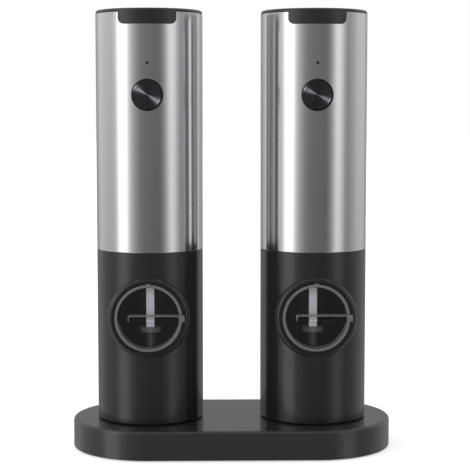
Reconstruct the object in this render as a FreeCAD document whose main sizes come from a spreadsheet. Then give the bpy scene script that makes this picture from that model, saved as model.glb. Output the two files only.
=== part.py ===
"""Electric salt and pepper mill set: two equal mills standing on one shared charging stand.

The origin is under the middle of the stand, on the table. +Z is up, the windows and buttons face -Y.
Inside one mill, radii are measured from its axis and heights from its own lower edge.
"""
import FreeCAD, Part
import math
import os
import re
import Sketcher

SIZES = [
    # the mill's outside
    ("mill_spacing", 80.4, "distance between the two mill axes"),
    ("mill_radius", 26.0, "outer radius of a mill"),
    ("mill_height", 197.7, "height of the steel sleeve's top edge"),
    ("joint_height", 83.6, "height where the steel sleeve meets the black body"),
    ("sleeve_wall", 0.6, "thickness of the steel sleeve"),
    ("body_wall", 2.4, "thickness of the black body's wall"),
    ("edge_chamfer", 1.2, "chamfer at the body's lower edge and the cap's rim"),
    ("neck_height", 8.0, "height of the body's neck inside the sleeve"),
    ("fit_gap", 0.1, "gap between pieces that plug together"),
    ("running_gap", 0.05, "radial gap of a running fit"),
    # top cap
    ("cap_rise", 1.7, "height of the cap above the steel"),
    ("cap_plate", 2.5, "thickness of the cap's top plate"),
    ("cap_skirt", 8.0, "length of the cap's skirt below the steel's top edge"),
    ("tab_width", 27.4, "width of the cap's front tab"),
    ("tab_drop", 5.7, "length of the tab below the steel's top edge"),
    ("tab_corner", 2.8, "radius of the tab's lower corners"),
    # inner frame
    ("frame_wall", 1.6, "wall of the inner frame"),
    ("frame_floor", 3.0, "thickness of the floor that closes the hopper"),
    ("frame_drop", 4.2, "depth of the frame's rim below the steel's top edge"),
    # button and light
    ("button_drop", 39.1, "button centre below the steel's top edge"),
    ("light_drop", 24.0, "light centre below the steel's top edge"),
    ("button_radius", 6.95, "radius of the button's face"),
    ("button_proud", 0.5, "how far the button stands in front of the mill's radius"),
    ("button_depth", 4.0, "depth of the button's head"),
    ("button_travel", 0.8, "how far the button is pressed"),
    ("bezel_width", 0.5, "width of the ring round the button"),
    ("bezel_proud", 0.3, "how far the ring stands in front of the mill's radius"),
    ("light_radius", 0.65, "radius of the light lens"),
    # control board and battery
    ("board_front", 15.5, "distance of the board's front face from the mill's axis"),
    ("board_thickness", 1.2, "thickness of a circuit board"),
    ("board_width", 26.0, "width of the control board"),
    ("board_height", 50.0, "height of the control board"),
    ("cell_radius", 9.15, "radius of the battery cell"),
    ("cell_length", 50.0, "length of the battery cell"),
    ("cell_offset", 5.6, "battery axis behind the mill's axis"),
    # motor and gearbox
    ("motor_radius", 12.2, "radius of the motor can"),
    ("motor_length", 31.0, "length of the motor can"),
    ("motor_shaft", 1.0, "radius of the motor's shaft"),
    ("case_height", 14.0, "height of the gearbox case"),
    ("case_wall", 2.0, "wall of the gearbox case"),
    ("gear_module", 0.7, "pitch diameter of a gear for each tooth"),
    ("sun_teeth", 12, "teeth of the motor's pinion"),
    ("planet_teeth", 12, "teeth of a planet gear"),
    ("ring_teeth", 36, "teeth inside the gearbox case"),
    ("gear_width", 6.0, "length of the gear teeth"),
    ("carrier_plate", 2.4, "thickness of the planet carrier's plate"),
    ("carrier_hub", 4.5, "radius of the planet carrier's hub"),
    ("planet_pin", 1.1, "radius of a planet gear's pin"),
    # drive shaft
    ("shaft_width", 4.2, "width of the square drive shaft"),
    ("disc_height", 42.0, "height of the shaft's disc"),
    ("disc_thickness", 2.7, "thickness of the shaft's disc"),
    ("disc_radius", 5.25, "radius of the shaft's disc"),
    ("stem_radius", 2.5, "radius of the shaft below its disc"),
    # window
    ("window_height", 52.3, "height of the window's centre"),
    ("cover_radius", 16.2, "outer radius of the clear refill cover"),
    ("cover_wall", 1.4, "wall of the cover's rim"),
    ("cover_floor", 1.6, "thickness of the cover's clear disc"),
    ("cover_recess", 5.6, "depth of the cover's disc behind its rim"),
    ("cover_gap", 0.2, "gap between the cover and its frame"),
    ("rib_height", 3.4, "height of the grip rib across the cover"),
    ("rib_reach", 10.0, "length of the rib to the left of the cover's centre"),
    ("pointer_overhang", 1.2, "how far the rib's pointer end passes the cover's edge"),
    ("frame_proud", 0.5, "how far the window frame's face stands in front of the mill's radius"),
    ("frame_face", 1.0, "width of the window frame's flat face"),
    ("frame_round", 2.2, "rounding of the window frame's outer edge"),
    ("frame_lip", 2.1, "how far the window frame reaches inside the wall"),
    ("gasket_width", 1.4, "width of the cover's sealing ring"),
    ("gasket_depth", 0.7, "depth of the groove that holds the ring"),
    # grinder
    ("dock_depth", 3.6, "depth of the recess under a mill"),
    ("housing_plate", 2.4, "thickness of the burr housing's plate"),
    ("outlet_radius", 10.6, "radius of the outlet under the burrs"),
    ("burr_radius", 12.8, "outer radius of the burr ring"),
    ("burr_height", 12.0, "height of the burr ring"),
    ("tube_wall", 2.0, "wall of the tube round the burr ring"),
    ("hopper_slope", 8.0, "rise of the hopper's sloping bottom"),
    ("hopper_bottom", 22.0, "height of the hopper's lower edge"),
    ("post_radius", 2.4, "radius of a screw post"),
    ("post_clearance", 1.0, "room between the burrs' tube and a screw post"),
    ("knob_radius", 7.5, "radius of the grind knob"),
    ("knob_stem", 2.0, "radius of the grind knob's stem"),
    ("contact_radius", 2.2, "radius of a contact pad"),
    ("contact_thickness", 0.4, "thickness of a contact pad"),
    ("screw_radius", 1.0, "radius of a screw's thread"),
    ("screw_head", 1.9, "radius of a screw's head"),
    ("head_height", 1.2, "height of a screw's head"),
    # stand
    ("stand_end_radius", 38.2, "radius of the stand's round ends, about each mill's axis"),
    ("stand_height", 14.6, "height of the stand's top face above the table"),
    ("stand_wall", 2.4, "wall of the stand's shell"),
    ("stand_edge", 1.5, "fillet round the stand's top face"),
    ("foot_gap", 0.5, "height of the shell's lower edge above the table"),
    ("foot_radius", 6.0, "radius of a rubber foot"),
    ("foot_recess", 0.8, "how deep a foot sits in the bottom plate"),
    ("plate_thickness", 2.0, "thickness of the stand's bottom plate"),
    ("dock_gap", 0.8, "gap between the round dock and the mill that stands over it"),
    ("dock_rise", 1.6, "height of the dock above the stand's top face"),
    ("well_radius", 13.5, "radius of the well that catches loose grounds"),
    ("well_depth", 5.0, "depth of the well below the stand's top face"),
    ("pin_radius", 1.0, "radius of a charging pin"),
    ("pin_gap", 0.1, "gap between a charging pin and its pad"),
    ("socket_width", 8.9, "width of the charging socket"),
    ("socket_height", 3.2, "height of the charging socket"),
    ("socket_depth", 7.3, "depth of the charging socket"),
]

LEFT, RIGHT = -1, 1
PLANETS = {"a": 90, "b": 210, "c": 330}
POSTS = (90, 210, 330)
CONTACTS = (0, 180)

# heights and radii that several pieces share, worked out from the sizes above
SLEEVE_INSIDE = "(mill_radius - sleeve_wall)"
NECK = "(mill_radius - sleeve_wall - fit_gap)"
HOPPER = "(mill_radius - body_wall)"
NECK_TOP = "(joint_height + neck_height)"
FRAME_TOP = "(mill_height - frame_drop)"
FLOOR_TOP = "(joint_height + frame_floor)"
CASE_TOP = "(joint_height + frame_floor + case_height)"
MOTOR_TOP = "(joint_height + frame_floor + case_height + motor_length)"
MOTOR_BOSS = 2.0
CELL_BOTTOM = f"({MOTOR_TOP} + {MOTOR_BOSS})"
BUTTON_HEIGHT = "(mill_height - button_drop)"
LIGHT_HEIGHT = "(mill_height - light_drop)"
BOARD_BOTTOM = "(mill_height - button_drop - board_height / 2)"
BEZEL_OUTSIDE = "(button_radius + 0.1 + bezel_width)"
SUN_PITCH = "(gear_module * sun_teeth / 2)"
PLANET_PITCH = "(gear_module * planet_teeth / 2)"
RING_PITCH = "(gear_module * ring_teeth / 2)"
PLANET_ORBIT = "(gear_module * (sun_teeth + planet_teeth) / 2)"
TOOTH_DEPTH = "(1.2 * gear_module)"
TOOTH_TIP = "(0.9 * gear_module)"
CARRIER_BOTTOM = f"({FLOOR_TOP} + 0.5)"
GEAR_BOTTOM = f"({CARRIER_BOTTOM} + carrier_plate + 0.4)"
WINDOW_BORE = "(cover_radius + cover_gap)"
FRAME_TUBE = "(cover_radius + cover_gap + frame_face)"
FRAME_FRONT = "(mill_radius + frame_proud)"
COVER_FRONT = "(mill_radius + frame_proud + 0.4)"
RIB_FRONT = "(mill_radius + frame_proud + 1.0)"
DISC_FRONT = f"({COVER_FRONT} - cover_recess)"
COVER_BACK = f"({COVER_FRONT} - cover_recess - cover_floor)"
GASKET_BACK = f"({DISC_FRONT} + 0.6)"
PLATE_TOP = "(dock_depth + housing_plate)"
POST_ORBIT = "(burr_radius + tube_wall + post_clearance + post_radius)"
DOCK = "(mill_radius - body_wall - dock_gap)"
BURR_BOTTOM = "(dock_depth + housing_plate + 2.5)"
STAND_FLOOR = "(foot_gap + plate_thickness)"
STAND_INSIDE = "(stand_end_radius - stand_wall)"
STAND_CEILING = "(stand_height - stand_wall)"
BOARD_Z = "(stand_height - well_depth - 3.0)"


def write_sizes():
    """Fill the spreadsheet with the driving sizes."""
    for row, (alias, value, meaning) in enumerate(SIZES, start=1):
        sheet.set(f"A{row}", alias)
        sheet.set(f"B{row}", str(value))
        sheet.set(f"C{row}", meaning)
        sheet.setAlias(f"B{row}", alias)
    doc.recompute()


def cells(expression):
    """Turn plain size names into references to the spreadsheet."""
    return re.sub(r"[a-z][a-z_]*", lambda word: "Sizes." + word.group(0), str(expression))


def value_of(expression):
    """The present value of an expression, in millimetres."""
    return float(sheet.evalExpression(cells(expression)))


def bind(thing, **sizes):
    """Tie properties to expressions; a double underscore stands for a dot in the property's path."""
    for name, expression in sizes.items():
        thing.setExpression(name.replace("__", "."), cells(expression))
    return thing


def put(thing, x="0", y="0", z="0"):
    """Tie a thing's position to expressions."""
    return bind(thing, Placement__Base__x=x, Placement__Base__y=y, Placement__Base__z=z)


def face_front(thing):
    """Turn a thing so that its own height points to the front, -Y."""
    thing.Placement = FreeCAD.Placement(FreeCAD.Vector(), FreeCAD.Rotation(FreeCAD.Vector(1, 0, 0), 90))
    return thing


def turned_up(angle):
    """Placement turned about the vertical axis."""
    return FreeCAD.Placement(FreeCAD.Vector(), FreeCAD.Rotation(FreeCAD.Vector(0, 0, 1), angle))


def outline_sketch(body, plane, corners):
    """Closed sketch with straight sides, each corner tied to two expressions."""
    sketch = body.newObject("Sketcher::SketchObject", body.Name + "_sketch")
    support = [feature for feature in body.Origin.OriginFeatures if feature.Role == plane][0]
    sketch.AttachmentSupport = [(support, "")]
    sketch.MapMode = "FlatFace"
    points = [FreeCAD.Vector(value_of(across), value_of(up), 0) for across, up in corners]
    count = len(points)
    sides = [Part.LineSegment(points[i], points[(i + 1) % count]) for i in range(count)]
    sketch.addGeometry(sides, False)
    for i in range(count):
        sketch.addConstraint(Sketcher.Constraint("Coincident", i, 2, (i + 1) % count, 1))
    for i, (across, up) in enumerate(corners):
        x_rule = sketch.addConstraint(Sketcher.Constraint("DistanceX", -1, 1, i, 1, points[i].x))
        y_rule = sketch.addConstraint(Sketcher.Constraint("DistanceY", -1, 1, i, 1, points[i].y))
        sketch.setExpression(f"Constraints[{x_rule}]", cells(across))
        sketch.setExpression(f"Constraints[{y_rule}]", cells(up))
    return sketch


def lathe(name, corners):
    """Solid turned about the Z axis from an outline of (radius, height) corners."""
    body = doc.addObject("PartDesign::Body", name)
    sketch = outline_sketch(body, "XZ_Plane", corners)
    turn = body.newObject("PartDesign::Revolution", name + "_turn")
    turn.Profile = sketch
    turn.ReferenceAxis = (sketch, ["V_Axis"])
    turn.Angle = 360
    return body


def toothed(name, corners, tooth, teeth, width):
    """Turned solid with a ring of equal straight teeth added to it."""
    body = lathe(name, corners)
    sketch = outline_sketch(body, "XY_Plane", tooth)
    bump = body.newObject("PartDesign::Pad", name + "_tooth")
    bump.Profile = sketch
    bind(bump, Length=width)
    ring = body.newObject("PartDesign::PolarPattern", name + "_teeth")
    ring.Originals = [bump]
    ring.Axis = (sketch, ["N_Axis"])
    ring.Angle = 360
    bind(ring, Occurrences=teeth)
    body.Tip = ring
    return body


def tooth_outline(foot, root, tip):
    """Tapered tooth on the +X side, from inside the rim at foot, over the root, to the tip radius."""
    wide, narrow = "(0.30 * 3.1416 * gear_module)", "(0.10 * 3.1416 * gear_module)"
    return [(foot, "-" + wide), (root, "-" + wide), (tip, "-" + narrow),
            (tip, narrow), (root, wide), (foot, wide)]


def rod(name, radius, low, high, x="0", y="0"):
    """Upright cylinder between two heights."""
    solid = doc.addObject("Part::Cylinder", name)
    bind(solid, Radius=radius, Height=f"({high}) - ({low})")
    return put(solid, x, y, low)


def front_rod(name, radius, near, far, x, z):
    """Cylinder that points to the front, from near to far in front of the mill's axis."""
    solid = face_front(doc.addObject("Part::Cylinder", name))
    bind(solid, Radius=radius, Height=f"({far}) - ({near})")
    return put(solid, x, f"-({near})", z)


def block(name, x, y, z):
    """Box between two expressions along each axis."""
    solid = doc.addObject("Part::Box", name)
    bind(solid, Length=f"({x[1]}) - ({x[0]})", Width=f"({y[1]}) - ({y[0]})", Height=f"({z[1]}) - ({z[0]})")
    return put(solid, x[0], y[0], z[0])


def spoke(name, angle, reach, half_width, low, high):
    """Flat bar from the axis outwards at an angle, between two heights."""
    solid = doc.addObject("Part::Box", name)
    turn = math.radians(angle)
    solid.Placement = turned_up(angle)
    bind(solid, Length=reach, Width=2 * half_width, Height=f"({high}) - ({low})")
    return put(solid, f"{half_width * math.sin(turn):.6f}", f"{-half_width * math.cos(turn):.6f}", low)


def join(name, solids):
    """One solid, or one group of solids, from several."""
    fused = doc.addObject("Part::MultiFuse", name)
    fused.Shapes = solids
    return fused


def cut(name, base, tools):
    """Base with the tools taken away."""
    tool = tools[0] if len(tools) == 1 else join(name + "_tools", tools)
    result = doc.addObject("Part::Cut", name)
    result.Base = base
    result.Tool = tool
    return result


def common(name, first, second):
    """What two solids share."""
    result = doc.addObject("Part::MultiCommon", name)
    result.Shapes = [first, second]
    return result


def around(angle, orbit):
    """Position on a circle about the mill's axis, as two expressions."""
    turn = math.radians(angle)
    return f"{math.cos(turn):.6f} * {orbit}", f"{math.sin(turn):.6f} * {orbit}"


def node(label, thing, x="0", z="0"):
    """Name a finished sub-part and set it in its place in the assembly."""
    thing.Label = label
    put(thing, x, "0", z)
    nodes[label] = thing


class Mill:
    """One mill; every method makes one of its pieces about the mill's own axis."""

    def __init__(self, name, side):
        self.name = name
        self.x = f"{side} * mill_spacing / 2"

    def label(self, piece):
        return f"{self.name}_{piece}"

    def add(self, piece, thing, z="0"):
        node(self.label(piece), thing, self.x, f"stand_height + {z}")

    def part(self, piece, detail):
        return f"{self.name}_{piece}_{detail}"

    def tab_shape(self, piece, gap, low_gap):
        """Rounded upright tongue in front of the mill, for the cap's tab and the sleeve's notch."""
        wide = f"(tab_width / 2 + {gap})"
        inner = f"({wide} - tab_corner)"
        bottom = f"(mill_height - tab_drop - {low_gap})"
        top = "(mill_height + cap_rise)"
        depth = ("-mill_radius - 2", "-mill_radius / 2")
        straight = block(self.part(piece, "upper"), (f"-{wide}", wide), depth,
                         (f"{bottom} + tab_corner", top))
        middle = block(self.part(piece, "middle"), (f"-{inner}", inner), depth, (bottom, top))
        corners = [front_rod(self.part(piece, f"corner_{side}"), "tab_corner", "mill_radius / 2",
                             "mill_radius + 2", f"{side} * {inner}", f"{bottom} + tab_corner")
                   for side in (LEFT, RIGHT)]
        return join(self.part(piece, "tongue"), [straight, middle] + corners)

    def steel_sleeve(self):
        tube = lathe(self.part("sleeve", "tube"), [
            (SLEEVE_INSIDE, "joint_height"), ("mill_radius", "joint_height"),
            ("mill_radius", "mill_height"), (SLEEVE_INSIDE, "mill_height")])
        notch = self.tab_shape("notch", "fit_gap", "fit_gap")
        button = front_rod(self.part("sleeve", "button_hole"), f"{BEZEL_OUTSIDE} + fit_gap",
                           "0", "mill_radius + 2", "0", BUTTON_HEIGHT)
        light = front_rod(self.part("sleeve", "light_hole"), "light_radius + fit_gap",
                          "0", "mill_radius + 2", "0", LIGHT_HEIGHT)
        self.add("steel_sleeve", cut(self.part("sleeve", "cut"), tube, [notch, button, light]))

    def top_cap(self):
        rim = "(mill_radius - 0.1)"
        top = "(mill_height + cap_rise)"
        plug = f"({SLEEVE_INSIDE} - fit_gap)"
        skirt = f"({plug} - frame_wall - fit_gap)"
        skirt_inside = f"({skirt} - frame_wall)"
        cap = lathe(self.part("cap", "turned"), [
            ("0", f"{top} - cap_plate"), (skirt_inside, f"{top} - cap_plate"),
            (skirt_inside, "mill_height - cap_skirt"), (skirt, "mill_height - cap_skirt"),
            (skirt, FRAME_TOP), (plug, FRAME_TOP), (plug, "mill_height"), (rim, "mill_height"),
            (rim, f"{top} - edge_chamfer"), (f"{rim} - edge_chamfer", top), ("0", top)])
        band = lathe(self.part("cap", "band"), [
            (f"{plug} - 1", "mill_height - tab_drop"), ("mill_radius", "mill_height - tab_drop"),
            ("mill_radius", "mill_height + 0.2"), (f"{plug} - 1", "mill_height + 0.2")])
        frame_room = rod(self.part("cap", "frame_room"), f"{plug} + 0.02", "0", FRAME_TOP)
        tab = cut(self.part("cap", "tab"), common(self.part("cap", "tab_band"), band,
                  self.tab_shape("tab", "0", "0")), [frame_room])
        self.add("top_cap", join(self.part("cap", "whole"), [cap, tab]))

    def inner_frame(self):
        wall_inside = f"({NECK} - frame_wall)"
        plug = f"({HOPPER} - fit_gap)"
        cup = lathe(self.part("frame", "cup"), [
            ("carrier_hub + running_gap", "joint_height"), (plug, "joint_height"),
            (plug, f"{NECK_TOP} + fit_gap"), (NECK, f"{NECK_TOP} + fit_gap"), (NECK, FRAME_TOP),
            (wall_inside, FRAME_TOP), (wall_inside, f"{NECK_TOP} + fit_gap + frame_wall"),
            (f"{plug} - frame_wall", f"{NECK_TOP} + fit_gap + frame_wall"),
            (f"{plug} - frame_wall", FLOOR_TOP), ("carrier_hub + running_gap", FLOOR_TOP)])
        rest = block(self.part("frame", "cell_rest"), ("-3", "3"),
                     ("cell_offset + cell_radius + fit_gap", f"{wall_inside} + 0.5"),
                     (CELL_BOTTOM, f"{CELL_BOTTOM} + cell_length / 2"))
        posts = [front_rod(self.part("frame", f"post_{side}_{end}"), "2.0", "board_front", "mill_radius - 4",
                           f"{side} * (board_width / 2 - 3)", self.board_post(end))
                 for side in (LEFT, RIGHT) for end in (0, 1)]
        body = join(self.part("frame", "joined"), [cup, rest] + posts)
        holes = [front_rod(self.part("frame", "button_hole"), f"{BEZEL_OUTSIDE} + fit_gap",
                           "cell_radius", "mill_radius + 2", "0", BUTTON_HEIGHT),
                 front_rod(self.part("frame", "light_hole"), "light_radius + fit_gap",
                           "cell_radius", "mill_radius + 2", "0", LIGHT_HEIGHT)]
        holes += [front_rod(self.part("frame", f"thread_{side}_{end}"), "screw_radius",
                            "board_front - 1", "board_front + 3",
                            f"{side} * (board_width / 2 - 3)", self.board_post(end))
                  for side in (LEFT, RIGHT) for end in (0, 1)]
        self.add("inner_frame", cut(self.part("frame", "cut"), body, holes))

    def board_post(self, end):
        """Height of the lower or the upper pair of board screws."""
        return f"({BOARD_BOTTOM} + 4 + {end} * (board_height - 8))"

    def button_and_bezel(self):
        inside = "(button_radius + 0.1)"
        flange = f"({BEZEL_OUTSIDE} + 1.5)"
        back = "(mill_radius - 5.4)"
        bezel = lathe(self.part("bezel", "turned"), [
            (inside, back), (flange, back), (flange, f"{back} + 1.0"), (BEZEL_OUTSIDE, f"{back} + 1.0"),
            (BEZEL_OUTSIDE, "mill_radius + bezel_proud"), (inside, "mill_radius + bezel_proud")])
        self.add("button_bezel", face_front(bezel), BUTTON_HEIGHT)
        stem = "(board_front + 2.75 + button_travel)"
        face = "(mill_radius + button_proud)"
        keeper = f"({back} - 0.2)"
        button = lathe(self.part("button", "turned"), [
            ("0", stem), ("2.0", stem), ("2.0", f"{keeper} - 0.8"), (f"{flange} - 0.7", f"{keeper} - 0.8"),
            (f"{flange} - 0.7", keeper), ("button_radius", keeper), ("button_radius", f"{face} - 0.3"),
            ("button_radius - 0.3", face), ("0", face)])
        self.add("power_button", face_front(button), BUTTON_HEIGHT)

    def light_lens(self):
        back = "(board_front + 1.0)"
        pipe = lathe(self.part("light", "turned"), [
            ("0", back), ("light_radius", back), ("light_radius", "mill_radius"), ("0", "mill_radius")])
        self.add("light_lens", face_front(pipe), LIGHT_HEIGHT)

    def control_board(self):
        board = block(self.part("board", "sheet"), ("-board_width / 2", "board_width / 2"),
                      ("-board_front", "-board_front + board_thickness"),
                      (BOARD_BOTTOM, f"{BOARD_BOTTOM} + board_height"))
        switch = block(self.part("board", "switch"), ("-3.1", "3.1"), ("-board_front - 2.0", "-board_front"),
                       (f"{BUTTON_HEIGHT} - 3.1", f"{BUTTON_HEIGHT} + 3.1"))
        plunger = front_rod(self.part("board", "plunger"), "1.6", "board_front + 2.0",
                            "board_front + 2.7", "0", BUTTON_HEIGHT)
        light = block(self.part("board", "light"), ("-1", "1"), ("-board_front - 0.9", "-board_front"),
                      (f"{LIGHT_HEIGHT} - 0.7", f"{LIGHT_HEIGHT} + 0.7"))
        chip = block(self.part("board", "chip"), ("-3.5", "3.5"), ("-board_front - 1.4", "-board_front"),
                     (f"{BOARD_BOTTOM} + 7", f"{BOARD_BOTTOM} + 14"))
        solid = join(self.part("board", "joined"), [board, switch, plunger, light, chip])
        holes = [front_rod(self.part("board", f"hole_{side}_{end}"), "screw_radius + 0.1",
                           "board_front - 2", "board_front + 1",
                           f"{side} * (board_width / 2 - 3)", self.board_post(end))
                 for side in (LEFT, RIGHT) for end in (0, 1)]
        self.add("control_board", cut(self.part("board", "cut"), solid, holes))

    def battery_cell(self):
        can = rod(self.part("cell", "can"), "cell_radius", CELL_BOTTOM, f"{CELL_BOTTOM} + cell_length - 1",
                  "0", "cell_offset")
        tip = rod(self.part("cell", "tip"), "2.8", f"{CELL_BOTTOM} + cell_length - 1",
                  f"{CELL_BOTTOM} + cell_length", "0", "cell_offset")
        self.add("battery_cell", join(self.part("cell", "joined"), [can, tip]))

    def motor(self):
        can = lathe(self.part("motor", "turned"), [
            ("motor_shaft + 0.4", CASE_TOP), ("motor_radius", CASE_TOP),
            ("motor_radius", f"{MOTOR_TOP} - 0.8"), ("motor_radius - 0.8", MOTOR_TOP),
            ("5", MOTOR_TOP), ("5", CELL_BOTTOM), ("0", CELL_BOTTOM), ("0", f"{CASE_TOP} + 3"),
            ("motor_shaft + 0.4", f"{CASE_TOP} + 3")])
        tags = [block(self.part("motor", f"tag_{side}"), (f"{side} * 8 - 1.4", f"{side} * 8 + 1.4"),
                      ("-6.3", "-5.8"), (f"{MOTOR_TOP} - 1", f"{MOTOR_TOP} + 3.5"))
                for side in (LEFT, RIGHT)]
        self.add("motor", join(self.part("motor", "joined"), [can] + tags))

    def gearbox_case(self):
        root = f"({RING_PITCH} + {TOOTH_DEPTH})"
        outside = f"({root} + case_wall)"
        roof = "(case_height - case_wall)"
        case = toothed(self.part("case", "toothed"), [
            (root, "0"), (outside, "0"), (outside, "case_height"), ("motor_shaft + 1.5", "case_height"),
            ("motor_shaft + 1.5", roof), (root, roof)],
            tooth_outline(f"{root} + 0.5", root, f"{RING_PITCH} - {TOOTH_TIP}"), "ring_teeth",
            f"{roof}")
        trim = rod(self.part("case", "carrier_room"), f"{root}", "-1", f"{GEAR_BOTTOM} - {FLOOR_TOP} - 0.3")
        self.add("gearbox_case", cut(self.part("case", "cut"), case, [trim]), FLOOR_TOP)

    def motor_pinion(self):
        root = f"({SUN_PITCH} - {TOOTH_DEPTH})"
        gear = toothed(self.part("pinion", "toothed"), [
            ("0", "0"), (root, "0"), (root, "gear_width"), ("motor_shaft", "gear_width"),
            ("motor_shaft", f"{CASE_TOP} + 2.5 - {GEAR_BOTTOM}"), ("0", f"{CASE_TOP} + 2.5 - {GEAR_BOTTOM}")],
            tooth_outline(f"{root} - 0.6", root, f"{SUN_PITCH} + {TOOTH_TIP}"), "sun_teeth", "gear_width")
        self.add("motor_pinion", gear, GEAR_BOTTOM)

    def planet_gears(self):
        """Three equal planet gears, each with a gap between its teeth turned to the pinion."""
        root = f"({PLANET_PITCH} - {TOOTH_DEPTH})"
        for letter, angle in PLANETS.items():
            gear = toothed(self.part(f"planet_{letter}", "toothed"), [
                ("planet_pin + running_gap", "0"), (root, "0"), (root, "gear_width"),
                ("planet_pin + running_gap", "gear_width")],
                tooth_outline(f"{root} - 0.6", root, f"{PLANET_PITCH} + {TOOTH_TIP}"), "planet_teeth",
                "gear_width")
            gear.Placement = turned_up(angle)
            bind(gear, Placement__Rotation__Angle=f"{angle} + 180 / planet_teeth")
            across, back = around(angle, PLANET_ORBIT)
            label = self.label(f"planet_gear_{letter}")
            node(label, gear, f"{self.x} + {across}", f"stand_height + {GEAR_BOTTOM}")
            bind(gear, Placement__Base__y=back)

    def planet_carrier(self):
        plate = f"({PLANET_ORBIT} + 2.2)"
        disc = lathe(self.part("carrier", "turned"), [
            ("0", "joint_height"), ("carrier_hub", "joint_height"), ("carrier_hub", CARRIER_BOTTOM),
            (plate, CARRIER_BOTTOM), (plate, f"{CARRIER_BOTTOM} + carrier_plate"),
            ("0", f"{CARRIER_BOTTOM} + carrier_plate")])
        pins = []
        for letter, angle in PLANETS.items():
            across, back = around(angle, PLANET_ORBIT)
            pins.append(rod(self.part("carrier", f"pin_{letter}"), "planet_pin", CARRIER_BOTTOM,
                            f"{GEAR_BOTTOM} + gear_width + 0.6", across, back))
            pins.append(rod(self.part("carrier", f"seat_{letter}"), "planet_pin + 0.6", CARRIER_BOTTOM,
                            f"{GEAR_BOTTOM} - 0.1", across, back))
        body = join(self.part("carrier", "joined"), [disc] + pins)
        half = "(shaft_width / 2 + running_gap)"
        hole = block(self.part("carrier", "square"), (f"-{half}", half), (f"-{half}", half),
                     ("joint_height - 1", f"{CARRIER_BOTTOM} + carrier_plate - 0.8"))
        self.add("planet_carrier", cut(self.part("carrier", "cut"), body, [hole]))

    def drive_shaft(self):
        half = "shaft_width / 2"
        disc_top = "(disc_height + disc_thickness)"
        stem_low = f"({BURR_BOTTOM} + burr_height + 2)"
        bar = block(self.part("shaft", "bar"), (f"-{half}", half), (f"-{half}", half),
                    (disc_top, f"{CARRIER_BOTTOM} + carrier_plate - 0.9"))
        disc = rod(self.part("shaft", "disc"), "disc_radius", "disc_height", disc_top)
        stem = rod(self.part("shaft", "stem"), "stem_radius", stem_low, "disc_height")
        tail = rod(self.part("shaft", "tail"), "stem_radius - 0.7", f"{stem_low} - 6", stem_low)
        self.add("drive_shaft", join(self.part("shaft", "joined"), [bar, disc, stem, tail]))

    def lower_body(self):
        tube_room = "(burr_radius + fit_gap + tube_wall + fit_gap)"
        collar = f"({tube_room} + 1.8)"
        slope_low = "(hopper_bottom + hopper_slope * 0.25 - 2.4)"
        shell = lathe(self.part("body", "turned"), [
            ("mill_radius - edge_chamfer", "0"), ("mill_radius", "edge_chamfer"),
            ("mill_radius", "joint_height"),
            (NECK, "joint_height"), (NECK, NECK_TOP), (HOPPER, NECK_TOP),
            (HOPPER, "hopper_bottom + hopper_slope"), (tube_room, "hopper_bottom"),
            (tube_room, "hopper_bottom - 8"), (collar, "hopper_bottom - 8"), (collar, slope_low),
            (HOPPER, "hopper_bottom + hopper_slope - 3"), (HOPPER, "0")])
        posts = []
        threads = []
        for angle in POSTS:
            across, back = around(angle, POST_ORBIT)
            posts.append(rod(self.part("body", f"post_{angle}"), "post_radius", PLATE_TOP,
                             "hopper_bottom + 1.5", across, back))
            threads.append(rod(self.part("body", f"thread_{angle}"), "screw_radius", f"{PLATE_TOP} - 1",
                               f"{PLATE_TOP} + 6", across, back))
        window = front_rod(self.part("body", "window_hole"), f"{FRAME_TUBE} + 0.05", "0",
                           "mill_radius + 2", "0", "window_height")
        body = join(self.part("body", "joined"), [shell] + posts)
        self.add("lower_body", cut(self.part("body", "cut"), body, threads + [window]))

    def window_frame(self):
        """Round frame: a tube through the wall, with a collar outside whose edge is rounded."""
        edge = f"({FRAME_TUBE} + frame_round)"
        tube = face_front(lathe(self.part("window", "tube"), [
            (WINDOW_BORE, "mill_radius / 4"), (FRAME_TUBE, "mill_radius / 4"),
            (FRAME_TUBE, FRAME_FRONT), (WINDOW_BORE, FRAME_FRONT)]))
        collar = face_front(lathe(self.part("window", "collar"), [
            (WINDOW_BORE + " + 0.2", "mill_radius / 2"), (edge, "mill_radius / 2"),
            (edge, f"{FRAME_FRONT} - frame_round"),
            (f"{FRAME_TUBE} + 0.866 * frame_round", f"{FRAME_FRONT} - 0.5 * frame_round"),
            (f"{FRAME_TUBE} + 0.5 * frame_round", f"{FRAME_FRONT} - 0.134 * frame_round"),
            (FRAME_TUBE, FRAME_FRONT), (WINDOW_BORE + " + 0.2", FRAME_FRONT)]))
        for ring in (tube, collar):
            put(ring, "0", "0", "window_height")
        low, high = "(window_height - 2 * cover_radius)", "(window_height + 2 * cover_radius)"
        inside = rod(self.part("window", "hopper_room"), f"{HOPPER} - frame_lip", low, high)
        body_room = rod(self.part("window", "body_room"), "mill_radius + 0.02", low, high)
        outside = cut(self.part("window", "collar_cut"), collar, [body_room])
        through = cut(self.part("window", "tube_cut"), tube, [inside])
        self.add("window_frame", join(self.part("window", "joined"), [through, outside]))

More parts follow.
